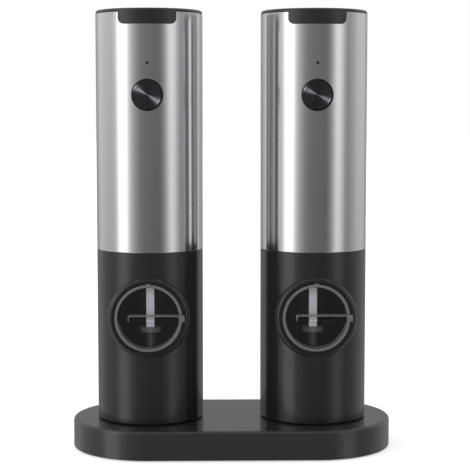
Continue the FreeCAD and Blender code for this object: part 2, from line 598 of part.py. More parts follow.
    def refill_cover(self):
        inside = "(cover_radius - cover_wall)"
        groove = "(cover_radius - gasket_depth)"
        cup = face_front(lathe(self.part("cover", "turned"), [
            ("0", COVER_BACK), ("cover_radius", COVER_BACK), ("cover_radius", f"{GASKET_BACK} - running_gap"),
            (groove, f"{GASKET_BACK} - running_gap"), (groove, f"{GASKET_BACK} + gasket_width + running_gap"),
            ("cover_radius", f"{GASKET_BACK} + gasket_width + running_gap"), ("cover_radius", COVER_FRONT),
            (inside, COVER_FRONT), (inside, DISC_FRONT), ("0", DISC_FRONT)]))
        put(cup, "0", "0", "window_height")
        low, high = "(window_height - rib_height / 2)", "(window_height + rib_height / 2)"
        rib = block(self.part("cover", "rib"), ("-rib_reach", f"{inside} + 0.3"),
                    (f"-{RIB_FRONT}", f"-{DISC_FRONT} + 0.2"), (low, high))
        pointer = block(self.part("cover", "pointer"), (inside, "cover_radius + pointer_overhang"),
                        (f"-{RIB_FRONT}", f"-{FRAME_FRONT} - 0.15"), (low, high))
        self.add("refill_cover", join(self.part("cover", "joined"), [cup, rib, pointer]))

    def cover_gasket(self):
        inside = "(cover_radius - gasket_depth + running_gap)"
        outside = "(cover_radius + cover_gap - running_gap)"
        ring = lathe(self.part("gasket", "turned"), [
            (inside, GASKET_BACK), (outside, GASKET_BACK),
            (outside, f"{GASKET_BACK} + gasket_width"), (inside, f"{GASKET_BACK} + gasket_width")])
        self.add("cover_gasket", face_front(ring), "window_height")

    def burr_housing(self):
        skirt = f"({HOPPER} - fit_gap)"
        bore = "(burr_radius + fit_gap)"
        tube = f"({bore} + tube_wall)"
        cup = lathe(self.part("housing", "turned"), [
            ("outlet_radius", "dock_depth"), (skirt, "dock_depth"), (skirt, f"{PLATE_TOP} + 6"),
            (f"{skirt} - 1.8", f"{PLATE_TOP} + 6"), (f"{skirt} - 1.8", PLATE_TOP), (tube, PLATE_TOP),
            (tube, "hopper_bottom - 0.6"), (bore, "hopper_bottom - 0.6"), (bore, BURR_BOTTOM),
            ("outlet_radius", BURR_BOTTOM)])
        hub = rod(self.part("housing", "hub"), "knob_stem + 2.2", "dock_depth + 1.0", BURR_BOTTOM)
        arms = [spoke(self.part("housing", f"arm_{angle}"), angle, "outlet_radius + 0.5", 1.1,
                      "dock_depth + 2.0", BURR_BOTTOM) for angle in POSTS]
        body = join(self.part("housing", "joined"), [cup, hub] + arms)
        holes = [rod(self.part("housing", "knob_hole"), "knob_stem + running_gap", "0", f"{BURR_BOTTOM} + 1")]
        for angle in POSTS:
            across, back = around(angle, POST_ORBIT)
            holes.append(rod(self.part("housing", f"screw_hole_{angle}"), "screw_radius + 0.1", "0",
                             f"{PLATE_TOP} + 1", across, back))
        for angle in CONTACTS:
            across, back = around(angle, POST_ORBIT)
            holes.append(rod(self.part("housing", f"contact_hole_{angle}"), "0.9", "0",
                             f"{PLATE_TOP} + 1", across, back))
        self.add("burr_housing", cut(self.part("housing", "cut"), body, holes))

    def burr_ring(self):
        top = f"({BURR_BOTTOM} + burr_height)"
        ring = lathe(self.part("burr_ring", "turned"), [
            ("outlet_radius - 0.8", BURR_BOTTOM), ("burr_radius", BURR_BOTTOM), ("burr_radius", top),
            ("burr_radius - 1.0", top), ("outlet_radius - 0.8", f"{BURR_BOTTOM} + 3")])
        flutes = []
        for step in range(12):
            across, back = around(step * 30, "(burr_radius - 1.4)")
            flutes.append(rod(self.part("burr_ring", f"flute_{step}"), "0.7", f"{BURR_BOTTOM} + 4",
                              f"{top} + 1", across, back))
        self.add("burr_ring", cut(self.part("burr_ring", "cut"), ring, flutes))

    def burr_rotor(self):
        low = f"({BURR_BOTTOM} + 0.5)"
        top = f"({BURR_BOTTOM} + burr_height + 2)"
        edge = "(outlet_radius - 1.3)"
        cone = lathe(self.part("rotor", "turned"), [
            ("0", low), (edge, low), (edge, f"{low} + 2"), ("stem_radius + 2.4", top),
            ("stem_radius - 0.65", top), ("stem_radius - 0.65", f"{top} - 6.1"), ("0", f"{top} - 6.1")])
        flutes = []
        for step in range(8):
            across, back = around(step * 45, f"({edge} + 0.3)")
            flutes.append(rod(self.part("rotor", f"flute_{step}"), "1.5", f"{low} + 2.5", f"{top} + 1",
                              across, back))
        self.add("burr_rotor", cut(self.part("rotor", "cut"), cone, flutes))

    def grind_knob(self):
        low = "(dock_depth - 2.8)"
        top = f"({BURR_BOTTOM} + 0.4)"
        disc = lathe(self.part("knob", "turned"), [
            ("0", low), ("knob_radius - 0.5", low), ("knob_radius", f"{low} + 0.5"),
            ("knob_radius", f"{low} + 3.0"), ("knob_stem", f"{low} + 3.0"), ("knob_stem", top), ("0", top)])
        notches = []
        for step in range(10):
            across, back = around(step * 36, "(knob_radius + 0.5)")
            notches.append(rod(self.part("knob", f"notch_{step}"), "1.1", f"{low} - 1", f"{low} + 4",
                               across, back))
        self.add("grind_knob", cut(self.part("knob", "cut"), disc, notches))

    def contact_pads(self):
        solids = []
        for angle in CONTACTS:
            across, back = around(angle, POST_ORBIT)
            solids.append(rod(self.part("pads", f"pad_{angle}"), "contact_radius",
                              "dock_depth - contact_thickness", "dock_depth", across, back))
            solids.append(rod(self.part("pads", f"rivet_{angle}"), "0.8", "dock_depth",
                              f"{PLATE_TOP} + 1.5", across, back))
        self.add("contact_pads", join(self.part("pads", "joined"), solids))

    def screws(self):
        solids = []
        for angle in POSTS:
            across, back = around(angle, POST_ORBIT)
            solids.append(rod(self.part("screws", f"head_{angle}"), "screw_head",
                              "dock_depth - head_height", "dock_depth", across, back))
            solids.append(rod(self.part("screws", f"thread_{angle}"), "screw_radius - 0.02", "dock_depth",
                              f"{PLATE_TOP} + 5", across, back))
        for side in (LEFT, RIGHT):
            for end in (0, 1):
                across, height = f"{side} * (board_width / 2 - 3)", self.board_post(end)
                solids.append(front_rod(self.part("screws", f"board_head_{side}_{end}"), "screw_head",
                                        "board_front - board_thickness - head_height",
                                        "board_front - board_thickness", across, height))
                solids.append(front_rod(self.part("screws", f"board_thread_{side}_{end}"),
                                        "screw_radius - 0.02", "board_front - board_thickness",
                                        "board_front + 2.5", across, height))
        self.add("screws", join(self.part("screws", "joined"), solids))

    def build(self):
        """Make every piece of the mill, from the outside in and from the top down."""
        self.steel_sleeve()
        self.top_cap()
        self.inner_frame()
        self.button_and_bezel()
        self.light_lens()
        self.control_board()
        self.battery_cell()
        self.motor()
        self.gearbox_case()
        self.motor_pinion()
        self.planet_gears()
        self.planet_carrier()
        self.drive_shaft()
        self.lower_body()
        self.window_frame()
        self.refill_cover()
        self.cover_gasket()
        self.burr_housing()
        self.burr_ring()
        self.burr_rotor()
        self.grind_knob()
        self.contact_pads()
        self.screws()


def stadium(name, end_radius, low, high):
    """Long plate with round ends about the two mill axes."""
    middle = block(name + "_middle", ("-mill_spacing / 2", "mill_spacing / 2"),
                   (f"-({end_radius})", end_radius), (low, high))
    ends = [rod(f"{name}_end_{side}", end_radius, low, high, f"{side} * mill_spacing / 2")
            for side in (LEFT, RIGHT)]
    return join(name, [middle] + ends)


def stand_block(name):
    """Outer form of the stand, with a fillet round its top face."""
    body = doc.addObject("PartDesign::Body", name)
    sketch = body.newObject("Sketcher::SketchObject", name + "_sketch")
    support = [feature for feature in body.Origin.OriginFeatures if feature.Role == "XY_Plane"][0]
    sketch.AttachmentSupport = [(support, "")]
    sketch.MapMode = "FlatFace"
    half, radius = value_of("mill_spacing / 2"), value_of("stand_end_radius")
    right, left = FreeCAD.Vector(half, 0, 0), FreeCAD.Vector(-half, 0, 0)
    up = FreeCAD.Vector(0, radius, 0)
    axis = FreeCAD.Vector(0, 0, 1)
    quarter = math.pi / 2
    sketch.addGeometry([
        Part.LineSegment(left - up, right - up),
        Part.ArcOfCircle(Part.Circle(right, axis, radius), -quarter, quarter),
        Part.LineSegment(right + up, left + up),
        Part.ArcOfCircle(Part.Circle(left, axis, radius), quarter, 3 * quarter)], False)
    for line, line_end, arc, arc_end in ((0, 2, 1, 1), (2, 1, 1, 2), (2, 2, 3, 1), (0, 1, 3, 2)):
        sketch.addConstraint(Sketcher.Constraint("Tangent", line, line_end, arc, arc_end))
    sketch.addConstraint(Sketcher.Constraint("Horizontal", 0))
    for arc, sign in ((1, ""), (3, "-")):
        centre = f"{sign}mill_spacing / 2"
        rule = sketch.addConstraint(Sketcher.Constraint("DistanceX", -1, 1, arc, 3, value_of(centre)))
        sketch.setExpression(f"Constraints[{rule}]", cells(centre))
    sketch.addConstraint(Sketcher.Constraint("PointOnObject", 1, 3, -1))
    rule = sketch.addConstraint(Sketcher.Constraint("Radius", 1, radius))
    sketch.setExpression(f"Constraints[{rule}]", cells("stand_end_radius"))
    slab = body.newObject("PartDesign::Pad", name + "_slab")
    slab.Profile = sketch
    bind(slab, Length="stand_height - foot_gap")
    doc.recompute()
    faces = slab.Shape.Faces
    top = max(range(len(faces)), key=lambda index: faces[index].CenterOfMass.z)
    edge = body.newObject("PartDesign::Fillet", name + "_edge")
    edge.Base = (slab, [f"Face{top + 1}"])
    bind(edge, Radius="stand_edge")
    return put(body, "0", "0", "foot_gap")


def plate_posts():
    """Places of the posts that hold the stand's bottom plate, as pairs of expressions."""
    reach = "(stand_end_radius * 0.72)"
    return [(f"{side} * (mill_spacing / 2 + 0.8 * {reach})", f"{depth} * 0.6 * {reach}")
            for side in (LEFT, RIGHT) for depth in (LEFT, RIGHT)]


def board_posts():
    """Places of the two screws that hold the charging board."""
    return [(f"{side} * mill_spacing / 8", "0") for side in (LEFT, RIGHT)]


def pin_places():
    """Places of the charging pins, two under each mill."""
    return [(f"{side} * mill_spacing / 2 + {hand} * {POST_ORBIT}", "0")
            for side in (LEFT, RIGHT) for hand in (LEFT, RIGHT)]


def socket_middle():
    """Height of the charging socket's middle."""
    return f"({BOARD_Z} + board_thickness + socket_height / 2)"


def stand_shell():
    """Shell of the stand with two round docks, each with a well in its middle."""
    outer = stand_block("shell_block")
    hollow = stadium("shell_hollow", STAND_INSIDE, "0", STAND_CEILING)
    walls = cut("shell_walls", outer, [hollow])
    docks, wells = [], []
    for side in (LEFT, RIGHT):
        x = f"{side} * mill_spacing / 2"
        docks.append(rod(f"shell_dock_{side}", DOCK, STAND_CEILING, "stand_height + dock_rise", x))
        docks.append(rod(f"shell_well_wall_{side}", "well_radius + 1.6", "stand_height - well_depth - 1.6",
                         "stand_height", x))
        wells.append(rod(f"shell_well_{side}", "well_radius", "stand_height - well_depth",
                         "stand_height + dock_rise + 1", x))
    posts = [rod(f"shell_post_{index}", "3.2", STAND_FLOOR, "stand_height - stand_wall / 2", x, y)
             for index, (x, y) in enumerate(plate_posts())]
    posts += [rod(f"shell_board_post_{index}", "2.6", f"{BOARD_Z} + board_thickness",
                  "stand_height - stand_wall / 2", x, y) for index, (x, y) in enumerate(board_posts())]
    body = join("shell_joined", [walls] + docks + posts)
    holes = [rod(f"shell_pin_hole_{index}", "pin_radius + fit_gap", "foot_gap",
                 "stand_height + dock_rise + 1", x, y)
             for index, (x, y) in enumerate(pin_places())]
    holes += [rod(f"shell_thread_{index}", "screw_radius", "0", f"{STAND_FLOOR} + 6", x, y)
              for index, (x, y) in enumerate(plate_posts())]
    holes += [rod(f"shell_board_thread_{index}", "screw_radius", "foot_gap",
                  f"{BOARD_Z} + board_thickness + 3", x, y)
              for index, (x, y) in enumerate(board_posts())]
    half_wide, half_high = "(socket_width / 2 + fit_gap)", "(socket_height / 2 + fit_gap)"
    holes.append(block("shell_socket_hole", (f"-{half_wide}", half_wide),
                       ("stand_end_radius - 2 * stand_wall", "stand_end_radius + 1"),
                       (f"{socket_middle()} - {half_high}", f"{socket_middle()} + {half_high}")))
    node("stand_shell", cut("shell_cut", body, wells + holes))


def foot_places():
    """Places of the rubber feet."""
    return [(f"{side} * mill_spacing / 2", f"{depth} * (stand_end_radius - stand_wall - foot_radius - 2)")
            for side in (LEFT, RIGHT) for depth in (LEFT, RIGHT)]


def stand_plate():
    """Bottom plate of the stand, with a shallow recess for each foot."""
    plate = stadium("plate_slab", f"({STAND_INSIDE} - fit_gap)", "foot_gap", STAND_FLOOR)
    recesses = [rod(f"plate_recess_{index}", "foot_radius + fit_gap", "0", "foot_gap + foot_recess", x, y)
                for index, (x, y) in enumerate(foot_places())]
    holes = [rod(f"plate_hole_{index}", "screw_radius + 0.1", "0", f"{STAND_FLOOR} + 1", x, y)
             for index, (x, y) in enumerate(plate_posts())]
    sinks = [rod(f"plate_sink_{index}", "screw_head + 0.1", "0", "foot_gap + head_height", x, y)
             for index, (x, y) in enumerate(plate_posts())]
    node("stand_plate", cut("plate_cut", plate, recesses + holes + sinks))


def rubber_feet():
    """Four round feet."""
    feet = [rod(f"foot_{index}", "foot_radius", "0", "foot_gap + foot_recess", x, y)
            for index, (x, y) in enumerate(foot_places())]
    node("rubber_feet", join("feet_joined", feet))


def stand_screws():
    """Screws of the bottom plate and of the charging board."""
    solids = []
    for index, (x, y) in enumerate(plate_posts()):
        solids.append(rod(f"stand_head_{index}", "screw_head", "foot_gap", "foot_gap + head_height", x, y))
        solids.append(rod(f"stand_thread_{index}", "screw_radius - 0.02", "foot_gap + head_height",
                          f"{STAND_FLOOR} + 5", x, y))
    for index, (x, y) in enumerate(board_posts()):
        solids.append(rod(f"stand_board_head_{index}", "screw_head", f"{BOARD_Z} - head_height", BOARD_Z,
                          x, y))
        solids.append(rod(f"stand_board_thread_{index}", "screw_radius - 0.02", BOARD_Z,
                          f"{BOARD_Z} + board_thickness + 2.5", x, y))
    node("stand_screws", join("stand_screws_joined", solids))


def charging_board():
    """Board that feeds the four pins, with an arm to the socket at the back."""
    top = f"({BOARD_Z} + board_thickness)"
    reach = f"(mill_spacing / 2 + {POST_ORBIT} + 4)"
    bar = block("feed_bar", (f"-{reach}", reach), ("-6", "6"), (BOARD_Z, top))
    arm = block("feed_arm", ("-9", "9"), ("5", f"{STAND_INSIDE} - 0.5"), (BOARD_Z, top))
    chip = block("feed_chip", ("-3", "3"), ("12", "18"), (top, f"{top} + 1.4"))
    holes = [rod(f"feed_hole_{index}", "screw_radius + 0.1", "0", "stand_height", x, y)
             for index, (x, y) in enumerate(board_posts())]
    node("charging_board", cut("feed_cut", join("feed_joined", [bar, arm, chip]), holes))


def charging_pins():
    """Four round pins that stand on the charging board and reach up to the contact pads."""
    pins = [rod(f"pin_{index}", "pin_radius", f"{BOARD_Z} + board_thickness",
                "stand_height + dock_depth - contact_thickness - pin_gap", x, y)
            for index, (x, y) in enumerate(pin_places())]
    node("charging_pins", join("pins_joined", pins))


def usb_socket():
    """Flat charging socket in the back wall: a sleeve with a tongue in it."""
    middle = socket_middle()
    half_wide, half_high = "(socket_width / 2)", "(socket_height / 2)"
    mouth = "(stand_end_radius - 0.3)"
    sleeve = block("socket_sleeve", (f"-{half_wide}", half_wide), (f"{mouth} - socket_depth", mouth),
                   (f"{middle} - {half_high}", f"{middle} + {half_high}"))
    room = block("socket_room", (f"-{half_wide} + 0.3", f"{half_wide} - 0.3"),
                 (f"{mouth} - socket_depth + 1", f"{mouth} + 1"),
                 (f"{middle} - {half_high} + 0.3", f"{middle} + {half_high} - 0.3"))
    tongue = block("socket_tongue", (f"-{half_wide} + 1.1", f"{half_wide} - 1.1"),
                   (f"{mouth} - socket_depth + 0.5", f"{mouth} - 0.8"),
                   (f"{middle} - 0.35", f"{middle} + 0.35"))
    node("usb_socket", join("socket_joined", [cut("socket_shell", sleeve, [room]), tongue]))


def check_and_write():
    """Stop at any failed feature or bad solid, then write each sub-part to its own file."""
    doc.recompute()
    failed = [thing.Label for thing in doc.Objects
              if any(word in thing.State for word in ("Invalid", "Error"))]
    if failed:
        raise RuntimeError("features that failed: " + ", ".join(failed))
    os.makedirs("parts", exist_ok=True)
    for label, thing in nodes.items():
        if thing.Shape.isNull() or not thing.Shape.isValid() or not thing.Shape.Solids:
            raise RuntimeError("bad shape: " + label)
    for label, thing in nodes.items():
        thing.Shape.exportStep(f"parts/{label}.step")
        print(f"{label}: {len(thing.Shape.Solids)} solid(s), {thing.Shape.Volume:.1f} mm3")


nodes = {}
doc = FreeCAD.newDocument("mill_set")
sheet = doc.addObject("Spreadsheet::Sheet", "Sizes")
write_sizes()
stand_shell()
stand_plate()
rubber_feet()
stand_screws()
charging_board()
charging_pins()
usb_socket()
Mill("left", LEFT).build()
Mill("right", RIGHT).build()
check_and_write()
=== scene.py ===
import logging
import math
from dataclasses import dataclass
from enum import Enum
from functools import cached_property
from typing import Iterable, Sequence

import bmesh
import bpy
from mathutils import Matrix, Vector


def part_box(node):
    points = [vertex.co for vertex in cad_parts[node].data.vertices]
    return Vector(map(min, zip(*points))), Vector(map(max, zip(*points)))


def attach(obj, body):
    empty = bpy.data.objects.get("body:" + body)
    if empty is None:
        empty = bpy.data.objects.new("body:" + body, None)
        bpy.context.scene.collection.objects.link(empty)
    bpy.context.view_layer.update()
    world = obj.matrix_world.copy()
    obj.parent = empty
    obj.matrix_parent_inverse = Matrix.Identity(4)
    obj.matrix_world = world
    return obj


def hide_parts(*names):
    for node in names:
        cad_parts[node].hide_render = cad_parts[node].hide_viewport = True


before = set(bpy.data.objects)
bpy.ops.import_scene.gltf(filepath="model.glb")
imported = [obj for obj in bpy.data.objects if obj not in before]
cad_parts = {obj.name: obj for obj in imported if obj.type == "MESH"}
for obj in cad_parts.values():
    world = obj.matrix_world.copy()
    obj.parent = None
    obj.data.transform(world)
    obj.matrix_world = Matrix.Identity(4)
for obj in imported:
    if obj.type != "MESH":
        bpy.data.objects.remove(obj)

LOG = logging.getLogger("mill_set")
MM = 0.001
Point = tuple[float, float, float]
Colour = tuple[float, float, float]


class Side(Enum):
    """Which of the two mills."""

    LEFT = "left"
    RIGHT = "right"


class Facing(Enum):
    """Direction that a turned piece's own axis points in."""

    UP = (0.0, 0.0, 1.0)
    FRONT = (0.0, -1.0, 0.0)

    def point(self, radius: float, along: float) -> Vector:
        """Point of an outline before it is turned."""
        return Vector(self.value) * along + Vector((radius, 0.0, 0.0))


@dataclass(frozen=True)
class Corner:
    """Corner of a turned outline.

    Attributes:
        radius: Distance from the axis, in millimetres.
        along: Place along the axis, in millimetres.
        fillet: Rounding of the corner, in millimetres.
    """

    radius: float
    along: float
    fillet: float = 0.0


# ---------------------------------------------------------------- mesh tools


def smooth_outline(corners: Sequence[Corner], closed: bool = True, steps: int = 5) -> list[Vector]:
    """Works out an outline with its rounded corners.

    Args:
        corners: The outline's corners in order.
        closed: Whether the last corner joins the first.
        steps: Straight pieces in each rounding.

    Returns:
        Points (radius, along) in metres.
    """
    flat = [Vector((corner.radius, corner.along)) * MM for corner in corners]
    points: list[Vector] = []
    for i, corner in enumerate(corners):
        here = flat[i]
        if corner.fillet == 0.0 or (not closed and i in (0, len(flat) - 1)):
            points.append(here)
            continue
        back = (flat[i - 1] - here).normalized()
        ahead = (flat[(i + 1) % len(flat)] - here).normalized()
        half = back.angle(ahead) / 2
        reach = corner.fillet * MM / math.tan(half)
        centre = here + (back + ahead).normalized() * corner.fillet * MM / math.sin(half)
        start = here + back * reach - centre
        end = here + ahead * reach - centre
        swing = [start.slerp(end, k / steps) * corner.fillet * MM for k in range(steps + 1)]
        points.extend(centre + arm for arm in swing)
    return points


def turned(corners: Sequence[Corner], facing: Facing, centre: Point, steps: int = 128) -> bmesh.types.BMesh:
    """Turns a closed outline about an axis.

    Args:
        corners: Outline, going round the section.
        facing: Direction of the axis.
        centre: Where the axis starts, in metres.
        steps: Segments round the axis.

    Returns:
        A closed solid with its faces outwards.
    """
    bm = bmesh.new()
    points = smooth_outline(corners)
    verts = [bm.verts.new(facing.point(point.x, point.y)) for point in points]
    pairs = [(a, b) for a, b in zip(verts, verts[1:] + verts[:1]) if max(a.co.x, b.co.x) > 1e-7]
    edges = [bm.edges.new(pair) for pair in pairs]
    bmesh.ops.spin(bm, geom=verts + edges, cent=(0, 0, 0), axis=facing.value, dvec=(0, 0, 0),
                   angle=2 * math.pi, steps=steps, use_merge=True, use_duplicate=False)
    bmesh.ops.remove_doubles(bm, verts=bm.verts, dist=1e-7)
    bmesh.ops.dissolve_degenerate(bm, edges=bm.edges, dist=1e-8)
    bmesh.ops.recalc_face_normals(bm, faces=bm.faces)
    bmesh.ops.translate(bm, vec=centre, verts=bm.verts)
    return bm


def block(low: Point, high: Point, round_edges: float = 0.0, segments: int = 3) -> bmesh.types.BMesh:
    """Box between two corners with all its edges rounded.

    Args:
        low: Lowest corner, in metres.
        high: Highest corner, in metres.
        round_edges: Rounding, in metres.
        segments: Steps of the rounding.

    Returns:
        The box.
    """
    bm = bmesh.new()
    low_v, high_v = Vector(low), Vector(high)
    place = Matrix.Translation((low_v + high_v) / 2) @ Matrix.Diagonal((*(high_v - low_v), 1.0))
    bmesh.ops.create_cube(bm, size=1.0, matrix=place)
    if round_edges:
        soften(bm, bm.edges[:], round_edges, segments)
    return bm


def soften(bm: bmesh.types.BMesh, edges: Sequence[bmesh.types.BMEdge], width: float, segments: int) -> None:
    """Rounds edges.

    Args:
        bm: Mesh to work on.
        edges: Its edges to round.
        width: Width of the rounding, in metres.
        segments: Steps of the rounding.
    """
    bmesh.ops.bevel(bm, geom=edges, offset=width, offset_type="OFFSET", affect="EDGES", segments=segments,
                    profile=0.5, material=-1)


def rod(radius: float, low: float, high: float, facing: Facing, centre: Point,
        steps: int) -> bmesh.types.BMesh:
    """Plain cylinder.

    Args:
        radius: Its radius, in millimetres.
        low: Where it starts along its axis, in millimetres.
        high: Where it ends.
        facing: Direction of the axis.
        centre: Where the axis starts, in metres.
        steps: Segments round the axis.

    Returns:
        The cylinder.
    """
    return turned([Corner(0, low), Corner(radius, low), Corner(radius, high), Corner(0, high)],
                  facing, centre, steps)


def merged(parts: Iterable[bmesh.types.BMesh]) -> bmesh.types.BMesh:
    """Puts several solids into one mesh, still apart from each other.

    Args:
        parts: The solids, which are used up.

    Returns:
        The mesh.
    """
    whole = bmesh.new()
    for part in parts:
        mesh = bpy.data.meshes.new("part")
        part.to_mesh(mesh)
        part.free()
        whole.from_mesh(mesh)
        bpy.data.meshes.remove(mesh)
    return whole


def loose_object(bm: bmesh.types.BMesh, name: str) -> bpy.types.Object:
    """Object from a mesh, linked to the scene.

    Args:
        bm: The mesh, which is used up.
        name: Name of the object.

    Returns:
        The object.
    """
    mesh = bpy.data.meshes.new(name)
    bm.to_mesh(mesh)
    bm.free()
    thing = bpy.data.objects.new(name, mesh)
    bpy.context.scene.collection.objects.link(thing)
    return thing


def carved(base: bmesh.types.BMesh, tools: Sequence[tuple[bmesh.types.BMesh, str]]) -> bmesh.types.BMesh:
    """Takes tools away from a solid, or adds or keeps what they share.

    Args:
        base: The solid to work on.
        tools: Pairs of a solid and DIFFERENCE, UNION or INTERSECT.

    Returns:
        The result, with small leftovers merged and small gaps closed.
    """
    body = loose_object(base, "carving")
    helpers = []
    for index, (tool, operation) in enumerate(tools):
        helper = loose_object(tool, f"tool_{index}")
        helpers.append(helper)
        step = body.modifiers.new(f"carve_{index}", "BOOLEAN")
        step.object = helper
        step.operation = operation
        step.solver = "EXACT"
    graph = bpy.context.evaluated_depsgraph_get()
    result = bmesh.new()
    result.from_object(body, graph)
    for thing in [body] + helpers:
        mesh = thing.data
        bpy.data.objects.remove(thing)
        bpy.data.meshes.remove(mesh)
    bmesh.ops.remove_doubles(result, verts=result.verts, dist=2e-6)
    bmesh.ops.dissolve_degenerate(result, edges=result.edges, dist=1e-7)
    bmesh.ops.delete(result, geom=[edge for edge in result.edges if not edge.link_faces], context="EDGES")
    gap = [edge for edge in result.edges if edge.is_boundary]
    if gap:
        filled = bmesh.ops.holes_fill(result, edges=gap, sides=4)
        for face in filled["faces"]:
            neighbour = next(other for edge in face.edges for other in edge.link_faces if other is not face)
            if face.normal.dot(neighbour.normal) < 0:
                face.normal_flip()
    return result


def across_and_up(place: Vector, facing: Facing) -> tuple[float, float]:
    """The two coordinates of a point that lie across a turned piece's axis."""
    return (place.x, place.y) if facing is Facing.UP else (place.x, place.z)


def lay_grain(bm: bmesh.types.BMesh, facing: Facing, centre: Point) -> None:
    """Adds a UV map whose first axis crosses the hairlines that run round a turned piece.

    Args:
        bm: Mesh to map.
        facing: Direction of the piece's axis.
        centre: A point on the axis.
    """
    layer = bm.loops.layers.uv.new("grain")
    middle = Vector(centre)
    for face in bm.faces:
        level = abs(face.normal.dot(Vector(facing.value))) > 0.7
        centre_across, centre_up = across_and_up(face.calc_center_median() - middle, facing)
        face_angle = math.atan2(centre_up, centre_across)
        for loop in face.loops:
            place = loop.vert.co - middle
            across, up = across_and_up(place, facing)
            radius = math.hypot(across, up)
            angle = math.atan2(up, across) if radius > 1e-6 else face_angle
            angle += 2 * math.pi * round((face_angle - angle) / (2 * math.pi))
            depth = place.dot(Vector(facing.value))
            loop[layer].uv = ((radius if level else depth) * 20, angle / (2 * math.pi))


# ---------------------------------------------------------------- finishes


class Tree:
    """Node tree with short calls for what the finishes and the surroundings need."""

    def __init__(self, tree: bpy.types.NodeTree) -> None:
        """Works on a tree that is there already."""
        self.tree = tree

    def node(self, kind: str, **settings: object) -> bpy.types.Node:
        """New node.

        Args:
            kind: Its type, without the leading ShaderNode.
            **settings: Its properties.

        Returns:
            The node.
        """
        made = self.tree.nodes.new("ShaderNode" + kind)
        for name, value in settings.items():
            setattr(made, name, value)
        return made

    def link(self, source: bpy.types.NodeSocket, target: bpy.types.NodeSocket) -> None:
        """Joins two sockets."""
        self.tree.links.new(source, target)

    def sum(self, operation: str, *values: object) -> bpy.types.NodeSocket:
        """Math node.

        Args:
            operation: What it does.
            *values: Sockets or plain numbers, in the order of its inputs.

        Returns:
            The result's socket.
        """
        made = self.node("Math", operation=operation)
        for value, target in zip(values, made.inputs):
            if isinstance(value, bpy.types.NodeSocket):
                self.link(value, target)
            else:
                target.default_value = value
        return made.outputs[0]

    def spread(self, value: bpy.types.NodeSocket, low: float, high: float,
               start: float = 0.3, stop: float = 0.7) -> bpy.types.NodeSocket:
        """Maps a value to another range.

        Args:
            value: The value.
            low: Result at the start.
            high: Result at the stop.
            start: Where the value's range starts.
            stop: Where it stops.

        Returns:
            The result's socket.
        """
        made = self.node("MapRange")
        for name, number in (("From Min", start), ("From Max", stop), ("To Min", low), ("To Max", high)):
            made.inputs[name].default_value = number
        self.link(value, made.inputs["Value"])
        return made.outputs["Result"]


class Graph(Tree):
    """Node tree of one material."""

    def __init__(self, name: str) -> None:
        """Makes a material with one shader.

        Args:
            name: Name of the material.
        """
        self.material = bpy.data.materials.new(name)
        self.material.use_nodes = True
        super().__init__(self.material.node_tree)
        self.shader = self.tree.nodes["Principled BSDF"]
        self.output = self.tree.nodes["Material Output"]

    def coordinates(self, centre: Point = (0, 0, 0), stretch: Point = (1, 1, 1)) -> bpy.types.NodeSocket:
        """Object coordinates moved to a centre and stretched.

        Args:
            centre: Point that becomes the origin.
            stretch: Factor along each axis.

        Returns:
            The vector socket.
        """
        source = self.node("TexCoord")
        mapping = self.node("Mapping")
        mapping.inputs["Location"].default_value = [-c * s for c, s in zip(centre, stretch)]
        mapping.inputs["Scale"].default_value = stretch
        self.link(source.outputs["Object"], mapping.inputs["Vector"])
        return mapping.outputs["Vector"]

    def polar(self, centre: Point, facing: Facing, stretch: Point) -> bpy.types.NodeSocket:
        """Coordinates that follow the turning: radius, angle and place along the axis.

        Args:
            centre: A point on the axis.
            facing: Direction of the axis.
            stretch: Factors for radius, angle and place along the axis.

        Returns:
            The vector socket.
        """
        split = self.node("SeparateXYZ")
        self.link(self.coordinates(centre), split.inputs[0])
        x, y, z = split.outputs
        up, along = (y, z) if facing is Facing.UP else (z, y)
        angle = self.sum("ARCTAN2", up, x)
        radius = self.sum("SQRT", self.sum("ADD", self.sum("MULTIPLY", x, x), self.sum("MULTIPLY", up, up)))
        joined = self.node("CombineXYZ")
        for source, factor, target in zip((radius, angle, along), stretch, joined.inputs):
            self.link(self.sum("MULTIPLY", source, factor), target)
        return joined.outputs[0]

    def noise(self, vector: bpy.types.NodeSocket, scale: float, detail: float = 3.0) -> bpy.types.NodeSocket:
        """Noise value between 0 and 1.

        Args:
            vector: Where it is read.
            scale: How fine it is.
            detail: How many finer layers it has.

        Returns:
            The value's socket.
        """
        made = self.node("TexNoise")
        made.inputs["Scale"].default_value = scale
        made.inputs["Detail"].default_value = detail
        self.link(vector, made.inputs["Vector"])
        return made.outputs["Fac"]

    def tint(self, value: bpy.types.NodeSocket, dark: Colour, light: Colour) -> bpy.types.NodeSocket:
        """Colour between two colours.

        Args:
            value: Share of the light colour.
            dark: Colour at 0.
            light: Colour at 1.

        Returns:
            The colour's socket.
        """
        made = self.node("Mix", data_type="RGBA")
        made.inputs[6].default_value = (*dark, 1)
        made.inputs[7].default_value = (*light, 1)
        self.link(value, made.inputs[0])
        return made.outputs[2]

    def bump(self, height: bpy.types.NodeSocket, distance: float, strength: float) -> bpy.types.NodeSocket:
        """Bump from a height.

        Args:
            height: The height, between 0 and 1.
            distance: How deep it is, in metres.
            strength: How much of it shows.

        Returns:
            The normal's socket.
        """
        made = self.node("Bump")
        made.inputs["Distance"].default_value = distance
        made.inputs["Strength"].default_value = strength
        self.link(height, made.inputs["Height"])
        return made.outputs["Normal"]

    def set(self, **values: object) -> None:
        """Sets or links the shader's sockets.

        Args:
            **values: Values by socket, with an underscore for each space in the socket's name.
        """
        for name, value in values.items():
            target = self.shader.inputs[name.replace("_", " ")]
            if isinstance(value, bpy.types.NodeSocket):
                self.link(value, target)
            elif isinstance(value, tuple) and len(value) == 3:
                target.default_value = (*value, 1)
            else:
                target.default_value = value


